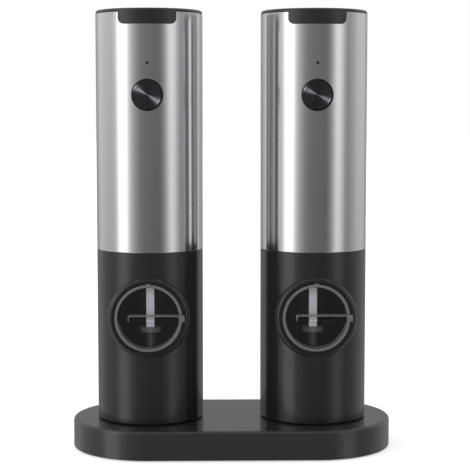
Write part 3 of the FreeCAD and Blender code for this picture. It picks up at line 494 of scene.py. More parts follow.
@dataclass(frozen=True)
class Finish:
    """Surface of a piece.

    Attributes:
        name: Name of the material.
        slot: Slot of a record that it is meant for; not used.
    """

    name: str
    slot: str

    def shade(self, graph: Graph) -> None:
        """Builds the nodes; each finish has its own."""
        raise NotImplementedError

    def material(self) -> bpy.types.Material:
        """The material, made once.

        Returns:
            The material, the same one at each call.
        """
        made = bpy.data.materials.get(self.name)
        if made is None:
            graph = Graph(self.name)
            self.shade(graph)
            made = graph.material
        return made


def shade_of(colour: Colour, factor: float) -> Colour:
    """The colour made lighter or darker."""
    return tuple(min(1.0, part * factor) for part in colour)


@dataclass(frozen=True)
class SatinPlastic(Finish):
    """Moulded plastic with a fine spark-eroded grain and slow changes of gloss."""

    colour: Colour = (0.022, 0.022, 0.023)
    roughness: float = 0.3
    grain: float = 0.35
    specular: float = 0.5

    def shade(self, graph: Graph) -> None:
        """Grain in the bump, and handling marks in the roughness.

        Args:
            graph: Node tree to build in.
        """
        place = graph.coordinates()
        slow = graph.noise(place, 38.0, 4.0)
        fine = graph.noise(place, 2600.0, 2.0)
        graph.set(Base_Color=graph.tint(slow, shade_of(self.colour, 0.9), shade_of(self.colour, 1.12)),
                  Roughness=graph.spread(slow, self.roughness - 0.025, self.roughness + 0.035),
                  Specular_IOR_Level=self.specular,
                  Normal=graph.bump(fine, 0.00002, self.grain))


@dataclass(frozen=True)
class GlossPlastic(Finish):
    """Polished plastic, slightly uneven as moulded, with faint wiping marks."""

    colour: Colour = (0.008, 0.008, 0.009)
    roughness: float = 0.12

    def shade(self, graph: Graph) -> None:
        """Slow waviness in the bump and fine marks in the roughness.

        Args:
            graph: Node tree to build in.
        """
        place = graph.coordinates()
        wave = graph.noise(place, 90.0, 1.0)
        marks = graph.noise(graph.coordinates(stretch=(1.0, 1.0, 9.0)), 420.0, 5.0)
        graph.set(Base_Color=graph.tint(marks, self.colour, shade_of(self.colour, 1.3)),
                  Roughness=graph.spread(marks, self.roughness - 0.03, self.roughness + 0.06),
                  Normal=graph.bump(wave, 0.00005, 0.25))


@dataclass(frozen=True)
class BrushedSteel(Finish):
    """Stainless steel with fine hairlines that run round the tube."""

    centre: Point = (0, 0, 0)
    facing: Facing = Facing.UP
    colour: Colour = (0.62, 0.62, 0.63)
    roughness: float = 0.17
    anisotropy: float = 0.55

    def shade(self, graph: Graph) -> None:
        """Hairlines in colour, roughness and bump, and a blur across them.

        Args:
            graph: Node tree to build in.
        """
        lines = graph.noise(graph.polar(self.centre, self.facing, (4000.0, 5.0, 9000.0)), 1.0, 4.0)
        slow = graph.noise(graph.coordinates(stretch=(1.0, 1.0, 0.35)), 26.0, 3.0)
        rough = graph.sum("ADD", graph.spread(lines, -0.03, 0.03),
                          graph.spread(slow, self.roughness - 0.01, self.roughness + 0.02))
        graph.set(Base_Color=graph.tint(lines, shade_of(self.colour, 0.95), shade_of(self.colour, 1.04)),
                  Roughness=rough, Metallic=1.0, Anisotropic=self.anisotropy,
                  Normal=graph.bump(lines, 0.000004, 0.25),
                  Tangent=graph.node("Tangent", direction_type="UV_MAP", uv_map="grain").outputs[0])


@dataclass(frozen=True)
class SpunMetal(Finish):
    """Black metal face with concentric turning lines, which catch light in two wedges."""

    centre: Point = (0, 0, 0)
    colour: Colour = (0.03, 0.03, 0.032)

    def shade(self, graph: Graph) -> None:
        """Rings in colour, roughness and bump, and a strong blur across them.

        Args:
            graph: Node tree to build in.
        """
        rings = graph.noise(graph.polar(self.centre, Facing.FRONT, (5200.0, 1.2, 1.0)), 1.0, 3.0)
        graph.set(Base_Color=graph.tint(rings, shade_of(self.colour, 0.6), shade_of(self.colour, 1.6)),
                  Roughness=graph.spread(rings, 0.42, 0.48), Metallic=0.9, Anisotropic=1.0,
                  Normal=graph.bump(rings, 0.00001, 0.3),
                  Tangent=graph.node("Tangent", direction_type="UV_MAP", uv_map="grain").outputs[0])


@dataclass(frozen=True)
class ClearPlastic(Finish):
    """Clear moulded plastic that lets lamps shine through."""

    colour: Colour = (0.87, 0.88, 0.89)
    roughness: float = 0.02

    def shade(self, graph: Graph) -> None:
        """Glass with moulding waves; lamps pass it without bending.

        Args:
            graph: Node tree to build in.
        """
        wave = graph.noise(graph.coordinates(), 160.0, 2.0)
        graph.set(Base_Color=self.colour, Roughness=self.roughness, IOR=1.49, Transmission_Weight=1.0,
                  Specular_IOR_Level=0.3, Normal=graph.bump(wave, 0.00003, 0.15))
        path = graph.node("LightPath")
        clear = graph.node("BsdfTransparent")
        clear.inputs["Color"].default_value = (*self.colour, 1)
        mix = graph.node("MixShader")
        graph.link(path.outputs["Is Shadow Ray"], mix.inputs[0])
        graph.link(graph.shader.outputs[0], mix.inputs[1])
        graph.link(clear.outputs[0], mix.inputs[2])
        graph.link(mix.outputs[0], graph.output.inputs["Surface"])


@dataclass(frozen=True)
class MilkyPaintedHighlight(Finish):
    """Clear plastic made milky and lighter for the cover's rim and the rib's top: painted highlight for the
    light that the clear rim gathers from all round.
    """

    colour: Colour = (0.22, 0.223, 0.227)
    clearness: float = 0.4

    def shade(self, graph: Graph) -> None:
        """Milky, lighter and partly see-through, as painted highlight.

        Args:
            graph: Node tree to build in.
        """
        cloud = graph.noise(graph.coordinates(), 300.0, 3.0)
        graph.set(Base_Color=graph.tint(cloud, shade_of(self.colour, 0.9), self.colour),
                  Roughness=graph.spread(cloud, 0.09, 0.15), IOR=1.49, Transmission_Weight=self.clearness)


@dataclass(frozen=True)
class Rubber(Finish):
    """Soft rubber or silicone with a dull, slightly dusty skin."""

    colour: Colour = (0.03, 0.03, 0.03)

    def shade(self, graph: Graph) -> None:
        """Dull skin with a fine uneven bump.

        Args:
            graph: Node tree to build in.
        """
        skin = graph.noise(graph.coordinates(), 900.0, 4.0)
        graph.set(Base_Color=graph.tint(skin, shade_of(self.colour, 0.8), shade_of(self.colour, 1.4)),
                  Roughness=graph.spread(skin, 0.62, 0.8), Sheen_Weight=0.1,
                  Normal=graph.bump(skin, 0.00004, 0.4))


@dataclass(frozen=True)
class PlainMetal(Finish):
    """Plated or drawn metal with fine marks along one direction."""

    colour: Colour = (0.6, 0.6, 0.61)
    roughness: float = 0.3
    marks: Point = (1.0, 1.0, 0.04)

    def shade(self, graph: Graph) -> None:
        """Drawing marks in colour, roughness and bump.

        Args:
            graph: Node tree to build in.
        """
        lines = graph.noise(graph.coordinates(stretch=self.marks), 3000.0, 3.0)
        graph.set(Base_Color=graph.tint(lines, shade_of(self.colour, 0.88), shade_of(self.colour, 1.06)),
                  Roughness=graph.spread(lines, self.roughness - 0.06, self.roughness + 0.08), Metallic=1.0,
                  Normal=graph.bump(lines, 0.000006, 0.3))


@dataclass(frozen=True)
class SatinShaft(Finish):
    """Light grey, finely blasted metal of the drive shaft."""

    colour: Colour = (0.72, 0.72, 0.735)

    def shade(self, graph: Graph) -> None:
        """Blasted skin with small changes of gloss.

        Args:
            graph: Node tree to build in.
        """
        skin = graph.noise(graph.coordinates(), 1800.0, 3.0)
        graph.set(Base_Color=graph.tint(skin, shade_of(self.colour, 0.9), shade_of(self.colour, 1.05)),
                  Roughness=graph.spread(skin, 0.38, 0.5), Metallic=0.25,
                  Normal=graph.bump(skin, 0.00001, 0.3))


@dataclass(frozen=True)
class Ceramic(Finish):
    """Unglazed burr ceramic with fine dark specks."""

    colour: Colour = (0.84, 0.83, 0.79)

    def shade(self, graph: Graph) -> None:
        """Specks in the colour and a grainy bump.

        Args:
            graph: Node tree to build in.
        """
        grain = graph.noise(graph.coordinates(), 2400.0, 5.0)
        specks = graph.spread(graph.noise(graph.coordinates(), 1300.0, 0.0), 1.0, 0.0, 0.28, 0.34)
        graph.set(Base_Color=graph.tint(specks, self.colour, shade_of(self.colour, 0.7)),
                  Roughness=graph.spread(grain, 0.45, 0.65), Normal=graph.bump(grain, 0.00003, 0.4))


@dataclass(frozen=True)
class CircuitBoard(Finish):
    """Green board with a fine pattern of tracks under its lacquer."""

    colour: Colour = (0.02, 0.13, 0.06)

    def shade(self, graph: Graph) -> None:
        """Tracks as cells of a grid, a little lighter and raised.

        Args:
            graph: Node tree to build in.
        """
        cells = graph.node("TexVoronoi", distance="MANHATTAN", feature="DISTANCE_TO_EDGE")
        cells.inputs["Scale"].default_value = 420.0
        graph.link(graph.coordinates(), cells.inputs["Vector"])
        tracks = graph.spread(cells.outputs["Distance"], 1.0, 0.0, 0.05, 0.09)
        graph.set(Base_Color=graph.tint(tracks, self.colour, shade_of(self.colour, 1.8)), Roughness=0.28,
                  Normal=graph.bump(tracks, 0.00003, 0.5))


@dataclass(frozen=True)
class WhiteFloor(Finish):
    """Matte white paper sweep that glows a little, so that it stays pale under the soft light."""

    glow: float = 0.5

    def shade(self, graph: Graph) -> None:
        """White with a very slight cloudiness.

        Args:
            graph: Node tree to build in.
        """
        cloud = graph.noise(graph.coordinates(), 3.0, 2.0)
        graph.set(Base_Color=graph.tint(cloud, (0.9, 0.9, 0.9), (0.93, 0.93, 0.93)), Roughness=0.9,
                  Specular_IOR_Level=0.0, Emission_Color=(1.0, 1.0, 1.0), Emission_Strength=self.glow)


STAND_BLACK = SatinPlastic("stand_black", "stand_plastic", colour=(0.025, 0.025, 0.026), roughness=0.13)
BODY_BLACK = SatinPlastic("body_black", "body_plastic", colour=(0.015, 0.015, 0.016), roughness=0.2)
CAP_BLACK = SatinPlastic("cap_black", "cap_plastic", colour=(0.016, 0.016, 0.017), roughness=0.34)
INNER_GREY = SatinPlastic("inner_grey", "inner_plastic", colour=(0.045, 0.045, 0.048), roughness=0.45)
COLLAR_GLOSS = GlossPlastic("collar_gloss", "gloss_plastic", roughness=0.19)
LENS_DARK = GlossPlastic("lens_dark", "lens", colour=(0.012, 0.012, 0.014), roughness=0.1)
CLEAR = ClearPlastic("clear_cover", "clear_plastic")
# The cover's rim gets milky, lighter plastic as painted highlight for the light that it gathers.
RIM_PAINTED_HIGHLIGHT = MilkyPaintedHighlight("clear_rim_painted_highlight", "clear_plastic")
# The rib's upward faces get lighter, milkier plastic as painted highlight on its lit top.
RIB_TOP_PAINTED_HIGHLIGHT = MilkyPaintedHighlight("clear_rib_top_painted_highlight", "clear_plastic", colour=(0.42, 0.42, 0.43), clearness=0.7)
FOOT_RUBBER = Rubber("foot_rubber", "rubber")
SEAL_SILICONE = Rubber("seal_silicone", "seal", colour=(0.30, 0.30, 0.31))
SHAFT = SatinShaft("shaft_satin", "shaft_metal")
COUPLER = SatinPlastic("coupler_grey", "shaft_metal", colour=(0.16, 0.16, 0.165), roughness=0.4)
STEM = SatinPlastic("stem_grey", "shaft_metal", colour=(0.05, 0.05, 0.052), roughness=0.4)
MOTOR_CAN = PlainMetal("motor_can", "motor_steel", colour=(0.5, 0.5, 0.51), roughness=0.34)
SCREW_STEEL = PlainMetal("screw_steel", "screw_steel", colour=(0.46, 0.46, 0.47), roughness=0.3,
                         marks=(1.0, 1.0, 1.0))
CONTACT_GOLD = PlainMetal("contact_gold", "contact_metal", colour=(0.83, 0.63, 0.3), roughness=0.22,
                          marks=(1.0, 1.0, 1.0))
GEAR_WHITE = SatinPlastic("gear_white", "gear_plastic", colour=(0.74, 0.73, 0.67), roughness=0.4)
BURR_CERAMIC = Ceramic("burr_ceramic", "ceramic")
BOARD_GREEN = CircuitBoard("board_green", "board")
CELL_BLUE = GlossPlastic("cell_blue", "cell_wrap", colour=(0.04, 0.12, 0.3), roughness=0.2)


# ---------------------------------------------------------------- pieces


def piece(bm: bmesh.types.BMesh, name: str, body: str, finish: Finish, node: str,
          sharp_degrees: float = 32.0) -> bpy.types.Object:
    """Finishes a new piece and sets it on its body.

    Args:
        bm: Its mesh, in place.
        name: Its name.
        body: CAD body that it moves with.
        finish: Its surface.
        node: CAD node that it stands for.
        sharp_degrees: Edges that turn more than this look sharp.

    Returns:
        The new object.
    """
    made = loose_object(bm, name)
    made.data.shade_smooth()
    made.data.set_sharp_from_angle(angle=math.radians(sharp_degrees))
    made.data.materials.append(finish.material())
    even = made.modifiers.new("even_normals", "WEIGHTED_NORMAL")
    even.keep_sharp = True
    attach(made, body)
    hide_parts(node)
    LOG.info("%s on %s: %d faces, finish %s", name, body, len(made.data.polygons), finish.name)
    return made


def dress(node: str, finish: Finish) -> None:
    """Gives a CAD node that stays as it is a better surface.

    Args:
        node: The node's name.
        finish: Its surface.
    """
    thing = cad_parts[node]
    for material_slot in thing.material_slots:
        material_slot.material = finish.material()
    LOG.info("%s keeps its form, finish %s", node, finish.name)


@dataclass(frozen=True)
class Stand:
    """Charging stand: a long shell with round ends and a dock under each mill. Sizes in millimetres."""

    top_fillet: float = 1.5
    bottom_fillet: float = 0.4
    dock_radius: float = 22.8
    dock_rise: float = 1.6
    well_radius: float = 13.5
    well_depth: float = 5.0
    cup_wall: float = 1.6
    wall: float = 2.4
    foot_radius: float = 6.0
    pin_radius: float = 1.0
    pin_gap: float = 0.1
    socket_gap: float = 0.1
    socket_corner: float = 1.2
    end_steps: int = 96

    def slab(self, end_radius: float, low: float, high: float, half: float) -> bmesh.types.BMesh:
        """Long plate with round ends.

        Args:
            end_radius: Radius of the ends, in metres.
            low: Height of the lower face, in metres.
            high: Height of the upper face, in metres.
            half: Half the distance between the ends' centres, in metres.

        Returns:
            The plate, with sharp edges.
        """
        bm = bmesh.new()
        bmesh.ops.create_circle(bm, cap_ends=True, radius=end_radius, segments=2 * self.end_steps,
                                matrix=Matrix.Translation((0, 0, low)))
        bmesh.ops.bisect_plane(bm, geom=bm.verts[:] + bm.edges[:] + bm.faces[:], plane_co=(0, 0, 0),
                               plane_no=(1, 0, 0), dist=1e-7)
        for vert in bm.verts:
            if abs(vert.co.x) > 1e-6:
                vert.co.x += math.copysign(half, vert.co.x)
        stretch = [vert for vert in bm.verts if abs(vert.co.x) <= 1e-6]
        seam = [edge for edge in bm.edges if all(vert in stretch for vert in edge.verts)]
        bmesh.ops.dissolve_edges(bm, edges=seam, use_verts=False)
        bmesh.ops.dissolve_verts(bm, verts=[vert for vert in stretch if vert.is_valid])
        lifted = bmesh.ops.extrude_face_region(bm, geom=bm.faces[:])
        top = [item for item in lifted["geom"] if isinstance(item, bmesh.types.BMVert)]
        bmesh.ops.translate(bm, vec=(0, 0, high - low), verts=top)
        bmesh.ops.recalc_face_normals(bm, faces=bm.faces)
        return bm

    def build(self) -> None:
        """Makes the shell and feet, and dresses what stays: plate, screws, board, socket and pins."""
        low, high = (Vector(corner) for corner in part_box("stand_shell"))
        face = high.z - self.dock_rise * MM
        radius = (high.y - low.y) / 2
        half = (high.x - low.x) / 2 - radius
        shell = self.slab(radius, low.z, face, half)
        rim = [edge for edge in shell.edges if all(vert.co.z > face - 1e-6 for vert in edge.verts)]
        soften(shell, rim, self.top_fillet * MM, 6)
        foot = [edge for edge in shell.edges if all(vert.co.z < low.z + 1e-6 for vert in edge.verts)]
        soften(shell, foot, self.bottom_fillet * MM, 3)
        hollow = self.slab(radius - self.wall * MM, low.z - MM, face - self.wall * MM, half)
        tools = [(hollow, "DIFFERENCE")]
        for x in (-half, half):
            tools += self.dock((x, 0, face))
        tools.append((self.socket_opening(), "DIFFERENCE"))
        pin_low, pin_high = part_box("charging_pins")
        outer, inner = pin_high[0] - self.pin_radius * MM, 2 * half - pin_high[0] + self.pin_radius * MM
        for x in (pin_low[0] + self.pin_radius * MM, -inner, inner, outer):
            hole = rod(self.pin_radius + self.pin_gap, -20, 4, Facing.UP, (x, 0, face), 32)
            tools.append((hole, "DIFFERENCE"))
        piece(carved(shell, tools), "charging_stand_shell", "stand", STAND_BLACK, "stand_shell")
        self.feet()
        for node, finish in (("stand_plate", INNER_GREY), ("stand_screws", SCREW_STEEL),
                             ("charging_board", BOARD_GREEN), ("usb_socket", SCREW_STEEL),
                             ("charging_pins", CONTACT_GOLD)):
            dress(node, finish)

    def dock(self, centre: Point) -> list[tuple[bmesh.types.BMesh, str]]:
        """Round dock with a cup under it, and the well that is cut into both.

        Args:
            centre: Point on the dock's axis at the height of the stand's top face, in metres.

        Returns:
            The tools that carve it, in order.
        """
        cup_radius = self.well_radius + self.cup_wall
        cup_floor = -self.well_depth - self.cup_wall
        form = turned([Corner(0, cup_floor), Corner(cup_radius, cup_floor), Corner(cup_radius, -1),
                       Corner(self.dock_radius, -1), Corner(self.dock_radius, self.dock_rise, 0.5),
                       Corner(0, self.dock_rise)], Facing.UP, centre)
        mouth = self.dock_rise + 1
        well = turned([Corner(0, -self.well_depth), Corner(self.well_radius, -self.well_depth, 1.0),
                       Corner(self.well_radius, mouth), Corner(0, mouth)], Facing.UP, centre)
        return [(form, "UNION"), (well, "DIFFERENCE")]

    def socket_opening(self) -> bmesh.types.BMesh:
        """Block that cuts the charging socket's opening."""
        low, high = (Vector(corner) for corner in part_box("usb_socket"))
        room = Vector((self.socket_gap, 2.0, self.socket_gap)) * MM
        return block(tuple(low - room), tuple(high + room), self.socket_corner * MM)

    def feet(self) -> None:
        """Four feet with rounded edges."""
        low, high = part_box("rubber_feet")
        tall = (high[2] - low[2]) / MM
        radius = self.foot_radius
        outline = [Corner(0, 0), Corner(radius, 0, 0.4), Corner(radius, tall), Corner(0, tall)]
        feet = [turned(outline, Facing.UP, (x, y, low[2]), 48)
                for x in (low[0] + radius * MM, high[0] - radius * MM)
                for y in (low[1] + radius * MM, high[1] - radius * MM)]
        piece(merged(feet), "round_feet", "stand", FOOT_RUBBER, "rubber_feet")


@dataclass(frozen=True)
class Mill:
    """One mill. Sizes in millimetres, heights above the mill's own lower edge."""

    side: Side
    radius: float = 26.0
    sleeve_wall: float = 0.6
    body_wall: float = 2.4
    joint_height: float = 83.6
    sleeve_top: float = 197.7
    cap_top: float = 199.4
    cap_fillet: float = 1.2
    cap_foot: float = 189.0
    cap_inside: float = 21.9
    body_edge: float = 1.2
    neck_rise: float = 8.0
    fit_gap: float = 0.1
    tab_width: float = 27.4
    tab_drop: float = 5.7
    tab_corner: float = 2.8
    button_height: float = 158.6
    button_radius: float = 6.95
    bezel_width: float = 0.5
    light_height: float = 173.7
    light_radius: float = 0.65
    window_height: float = 52.3
    cover_wall: float = 1.4
    cover_gap: float = 0.2
    cover_recess: float = 5.6
    rib_proud: float = 0.6
    rib_half: float = 1.7
    rib_reach: float = 10.0
    pointer_overhang: float = 1.2
    groove_depth: float = 0.7
    running_gap: float = 0.05
    collar_face: float = 1.0
    collar_round: float = 2.2
    collar_sink: float = 0.15
    lip_radius: float = 21.5
    shaft_half: float = 2.1
    disc_height: float = 42.0
    disc_thickness: float = 2.7
    disc_radius: float = 5.25
    stem_radius: float = 2.5
    tail_radius: float = 1.8
    tail_height: float = 22.0
    turn_steps: int = 192

    def node(self, name: str) -> str:
        """Full name of one of this mill's nodes or bodies."""
        return f"{self.side.value}_{name}"

    @cached_property
    def axis(self) -> Vector:
        """Foot of the mill's axis, in metres."""
        low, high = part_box(self.node("lower_body"))
        return Vector(((low[0] + high[0]) / 2, 0.0, low[2]))

    @cached_property
    def cover_radius(self) -> float:
        """Outer radius of the refill cover, in millimetres."""
        low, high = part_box(self.node("cover_gasket"))
        return (high[2] - low[2]) / 2 / MM - self.cover_gap + self.running_gap

    @property
    def bore(self) -> float:
        """Radius of the window's bore, in millimetres."""
        return self.cover_radius + self.cover_gap

    def at(self, height: float) -> Point:
        """Point on the axis at a height."""
        return tuple(self.axis + Vector((0, 0, height * MM)))

    def front_of(self, name: str) -> float:
        """How far one of this mill's nodes reaches in front of the axis, in millimetres."""
        return -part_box(self.node(name))[0][1] / MM

    def tongue(self, gap: float) -> bmesh.types.BMesh:
        """Block in front of the mill with the outline of the cap's tab.

        Args:
            gap: Room added all round, in millimetres.

        Returns:
            The block, with its lower corners rounded.
        """
        foot = self.axis
        half = (self.tab_width / 2 + gap) * MM
        bottom = foot.z + (self.sleeve_top - self.tab_drop - gap) * MM
        low = (foot.x - half, -(self.radius + 2) * MM, bottom)
        high = (foot.x + half, -self.radius / 2 * MM, foot.z + (self.cap_top + 1) * MM)
        bm = block(low, high)
        lower = [edge for edge in bm.edges if all(vert.co.z < bottom + 1e-6 for vert in edge.verts)
                 and abs(edge.verts[0].co.y - edge.verts[1].co.y) > MM]
        soften(bm, lower, self.tab_corner * MM, 8)
        return bm

    def sleeve(self) -> None:
        """Steel sleeve with softened ends, a notch for the tab and holes for button and light."""
        inner = self.radius - self.sleeve_wall
        tube = turned([Corner(inner, self.joint_height, 0.15), Corner(self.radius, self.joint_height, 0.25),
                       Corner(self.radius, self.sleeve_top, 0.25), Corner(inner, self.sleeve_top, 0.15)],
                      Facing.UP, self.at(0), 2 * self.turn_steps)
        opening = self.button_radius + self.bezel_width + 2 * self.fit_gap
        reach = rod(opening, 15, 30, Facing.FRONT, self.at(self.button_height), 96)
        pinhole = rod(self.light_radius + self.fit_gap, 15, 30, Facing.FRONT, self.at(self.light_height), 32)
        shell = carved(tube, [(tool, "DIFFERENCE") for tool in (self.tongue(0.12), reach, pinhole)])
        lay_grain(shell, Facing.UP, self.at(0))
        steel = BrushedSteel(self.node("steel"), "sleeve_steel", centre=self.at(0))
        piece(shell, self.node("brushed_sleeve"), self.node("mill"), steel, self.node("steel_sleeve"))

    def cap(self) -> None:
        """Black cap with a rounded rim and its front tab."""
        rim = self.radius - self.fit_gap
        plug = self.radius - self.sleeve_wall - self.fit_gap
        ledge = self.sleeve_top - 3
        lid = turned([Corner(0, self.cap_foot), Corner(self.cap_inside, self.cap_foot),
                      Corner(self.cap_inside, ledge), Corner(plug, ledge),
                      Corner(plug, self.sleeve_top), Corner(rim, self.sleeve_top, 0.2),
                      Corner(rim, self.cap_top, self.cap_fillet), Corner(20, self.cap_top),
                      Corner(0, self.cap_top - 0.15)], Facing.UP, self.at(0), self.turn_steps)
        top = self.sleeve_top + 0.3
        band = turned([Corner(plug - 0.6, 191), Corner(self.radius, 191), Corner(self.radius, top),
                       Corner(plug - 0.6, top)], Facing.UP, self.at(0), self.turn_steps)
        tab = carved(band, [(self.tongue(0.0), "INTERSECT")])
        piece(merged([lid, tab]), self.node("capped_top"), self.node("mill"), CAP_BLACK, self.node("top_cap"))

    def button(self) -> None:
        """Round button with a dished rim, its bezel and the light's lens."""
        centre = self.at(self.button_height)
        front = self.front_of("power_button")
        edge = self.button_radius
        knob = turned([Corner(0, 19.3), Corner(8.3, 19.3), Corner(8.3, 20.4), Corner(edge, 20.4),
                       Corner(edge, front, 0.35), Corner(6.1, front, 0.1), Corner(5.95, front - 0.12, 0.1),
                       Corner(0, front - 0.06)], Facing.FRONT, centre, 128)
        lay_grain(knob, Facing.FRONT, centre)
        finish = SpunMetal(self.node("spun_black"), "button_metal", centre=centre)
        piece(knob, self.node("push_button"), self.node("button"), finish, self.node("power_button"))
        front = self.front_of("button_bezel")
        inner = edge + self.fit_gap
        outer = inner + self.bezel_width
        ring = turned([Corner(inner, 20.6), Corner(9.0, 20.6), Corner(9.0, 21.6), Corner(outer, 21.6),
                       Corner(outer, front, 0.2), Corner(inner, front, 0.2)], Facing.FRONT, centre, 128)
        piece(ring, self.node("button_ring"), self.node("mill"), COLLAR_GLOSS, self.node("button_bezel"))
        pin = self.light_radius
        lens = turned([Corner(0, 16.5), Corner(pin, 16.5), Corner(pin, 25.9, 0.1), Corner(0, 26.0)],
                      Facing.FRONT, self.at(self.light_height), 32)
        piece(lens, self.node("light_pipe"), self.node("mill"), LENS_DARK, self.node("light_lens"))

    def body(self) -> None:
        """Black body: outer wall, hopper with a sloping bottom and the window's hole."""
        inside = self.radius - self.body_wall
        neck = self.radius - self.sleeve_wall - self.fit_gap
        shoulder = self.joint_height - 0.05
        neck_top = self.joint_height + self.neck_rise
        shell = turned([Corner(self.radius, 0, self.body_edge), Corner(self.radius, shoulder, 0.2),
                        Corner(neck, shoulder), Corner(neck, neck_top, 0.3),
                        Corner(inside, neck_top), Corner(inside, 30, 2.0), Corner(15, 22, 0.3),
                        Corner(15, 14), Corner(16.8, 14), Corner(16.8, 21.6), Corner(inside, 27),
                        Corner(inside, 0, 0.3)], Facing.UP, self.at(0), self.turn_steps)
        tube = self.bore + self.collar_face + self.running_gap
        hole = rod(tube, 0, 30, Facing.FRONT, self.at(self.window_height), 128)
        piece(carved(shell, [(hole, "DIFFERENCE")]), self.node("moulded_body"), self.node("mill"), BODY_BLACK,
              self.node("lower_body"))

    def hug(self, bm: bmesh.types.BMesh, along: float, tube_radius: float, sink: float) -> None:
        """Moves one ring of a front-facing turned piece onto an upright cylinder about the mill's axis.

        Args:
            bm: The turned piece.
            along: Place of the ring along the piece's axis, in millimetres.
            tube_radius: The cylinder's radius, in millimetres.
            sink: How far behind its surface the ring ends, in millimetres.
        """
        for vert in bm.verts:
            if abs(vert.co.y + along * MM) < 1e-6:
                across = vert.co.x - self.axis.x
                vert.co.y = -math.sqrt((tube_radius * MM) ** 2 - across ** 2) + sink * MM

    def collar(self) -> None:
        """Window frame: a collar whose rounded edge runs into the body, and a tube through the wall."""
        front = self.front_of("window_frame")
        centre = self.at(self.window_height)
        tube = self.bore + self.collar_face
        edge = tube + self.collar_round
        ring = turned([Corner(self.bore, 5.0), Corner(self.bore, front, 0.2),
                       Corner(edge, front, self.collar_round), Corner(edge, 4.0), Corner(tube, 3.0),
                       Corner(tube, 2.0)], Facing.FRONT, centre, 160)
        for along in (4.0, 3.0):
            self.hug(ring, along, self.radius, self.collar_sink)
        for along in (2.0, 5.0):
            self.hug(ring, along, self.lip_radius, 0.0)
        for vert in ring.verts:
            across = vert.co.x - self.axis.x
            out = math.hypot(across, vert.co.z - centre[2])
            if out > (tube + self.running_gap) * MM:
                surface = -math.sqrt(max((self.radius * MM) ** 2 - across ** 2, 0.0))
                vert.co.y = min(vert.co.y, surface + self.collar_sink * MM)
        bmesh.ops.remove_doubles(ring, verts=ring.verts, dist=1e-6)
        bmesh.ops.recalc_face_normals(ring, faces=ring.faces)
        piece(ring, self.node("window_collar"), self.node("mill"), COLLAR_GLOSS,
              self.node("window_frame"), 40)

    def cover(self) -> None:
        """Clear refill cover: a cup with a rounded rim and a grip rib that ends in a pointer."""
        _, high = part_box(self.node("refill_cover"))
        back = -high[1] / MM
        rib_front = self.front_of("refill_cover")
        front = rib_front - self.rib_proud
        floor = front - self.cover_recess
        seat = (floor + 0.55, floor + 2.05)
        centre = self.at(self.window_height)
        outer = self.cover_radius
        inner = outer - self.cover_wall
        groove = outer - self.groove_depth
        cup = turned([Corner(0, back), Corner(outer, back, 0.3), Corner(outer, seat[0]),
                      Corner(groove, seat[0]), Corner(groove, seat[1]), Corner(outer, seat[1]),
                      Corner(outer, front, 0.55), Corner(inner, front, 0.55), Corner(inner, floor, 0.5),
                      Corner(0, floor)], Facing.FRONT, centre, 128)
        x, _, z = centre
        low_z, high_z = z - self.rib_half * MM, z + self.rib_half * MM
        tip = outer + self.pointer_overhang
        rib = block((x - self.rib_reach * MM, -rib_front * MM, low_z),
                    (x + (inner + 0.3) * MM, -(floor - 0.2) * MM, high_z), 1.2 * MM, 4)
        pointer = block((x + (inner - 0.3) * MM, -rib_front * MM, low_z),
                        (x + tip * MM, -(rib_front - 0.8) * MM, high_z), 0.35 * MM, 3)
        mark = block((x - 1.1 * MM, -(rib_front - 0.1) * MM, z + (inner + 0.5) * MM),
                     (x + 1.1 * MM, -(rib_front - 0.8) * MM, z + (outer + 0.5) * MM), 0.3 * MM, 3)
        clear = carved(cup, [(tool, "UNION") for tool in (rib, pointer, mark)])
        made = piece(clear, self.node("clear_cover"), self.node("cover"), CLEAR,
                     self.node("refill_cover"), 28)
        made.data.materials.append(RIM_PAINTED_HIGHLIGHT.material())
        made.data.materials.append(RIB_TOP_PAINTED_HIGHLIGHT.material())
        # Rim faces get the milky rim finish, a painted highlight on the clear plastic.
        for face in made.data.polygons:
            out = math.hypot(face.center.x - x, face.center.z - z)
            if out > (inner - 0.1) * MM and face.center.y < -(floor + 2.0) * MM:
                face.material_index = 1
            # Upward faces of the rib get the lighter rib finish, a painted highlight on its top.
            elif out < inner * MM and face.center.y < -(floor + 0.1) * MM and face.normal.z > 0.2:
                face.material_index = 2
        deep, wide = groove + self.running_gap, outer + self.cover_gap - self.running_gap
        seal_back, seal_front = seat[0] + self.running_gap, seat[1] - self.running_gap
        seal = turned([Corner(deep, seal_back, 0.3), Corner(wide, seal_back, 0.3),
                       Corner(wide, seal_front, 0.3), Corner(deep, seal_front, 0.3)],
                      Facing.FRONT, centre, 128)
        piece(seal, self.node("seal_ring"), self.node("seal"), SEAL_SILICONE, self.node("cover_gasket"))

    def shaft(self) -> None:
        """Square drive shaft with softened edges, its disc and the round stem below."""
        low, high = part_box(self.node("drive_shaft"))
        x = self.axis.x
        half = self.shaft_half * MM
        bar = block((x - half, -half, self.at(44.0)[2]), (x + half, half, high[2]), 0.3 * MM)
        disc_top = self.disc_height + self.disc_thickness
        disc = turned([Corner(0, self.tail_height), Corner(self.stem_radius, self.tail_height),
                       Corner(self.stem_radius, self.disc_height, 0.6),
                       Corner(self.disc_radius, self.disc_height, 0.5),
                       Corner(self.disc_radius, disc_top, 0.6), Corner(0, disc_top)],
                      Facing.UP, self.at(0), 64)
        tail_foot = (low[2] - self.axis.z) / MM
        tail_top = self.tail_height + 0.5
        tail = turned([Corner(0, tail_foot), Corner(self.tail_radius, tail_foot, 0.2),
                       Corner(self.tail_radius, tail_top), Corner(0, tail_top)], Facing.UP, self.at(0), 48)
        whole = carved(disc, [(bar, "UNION"), (tail, "UNION")])
        made = piece(whole, self.node("square_shaft"), self.node("drive"), SHAFT, self.node("drive_shaft"))
        made.data.materials.append(COUPLER.material())
        made.data.materials.append(STEM.material())
        for face in made.data.polygons:
            if face.center.z < self.at(self.disc_height - 0.1)[2]:
                face.material_index = 2
            elif face.center.z < self.at(disc_top + 0.05)[2]:
                face.material_index = 1

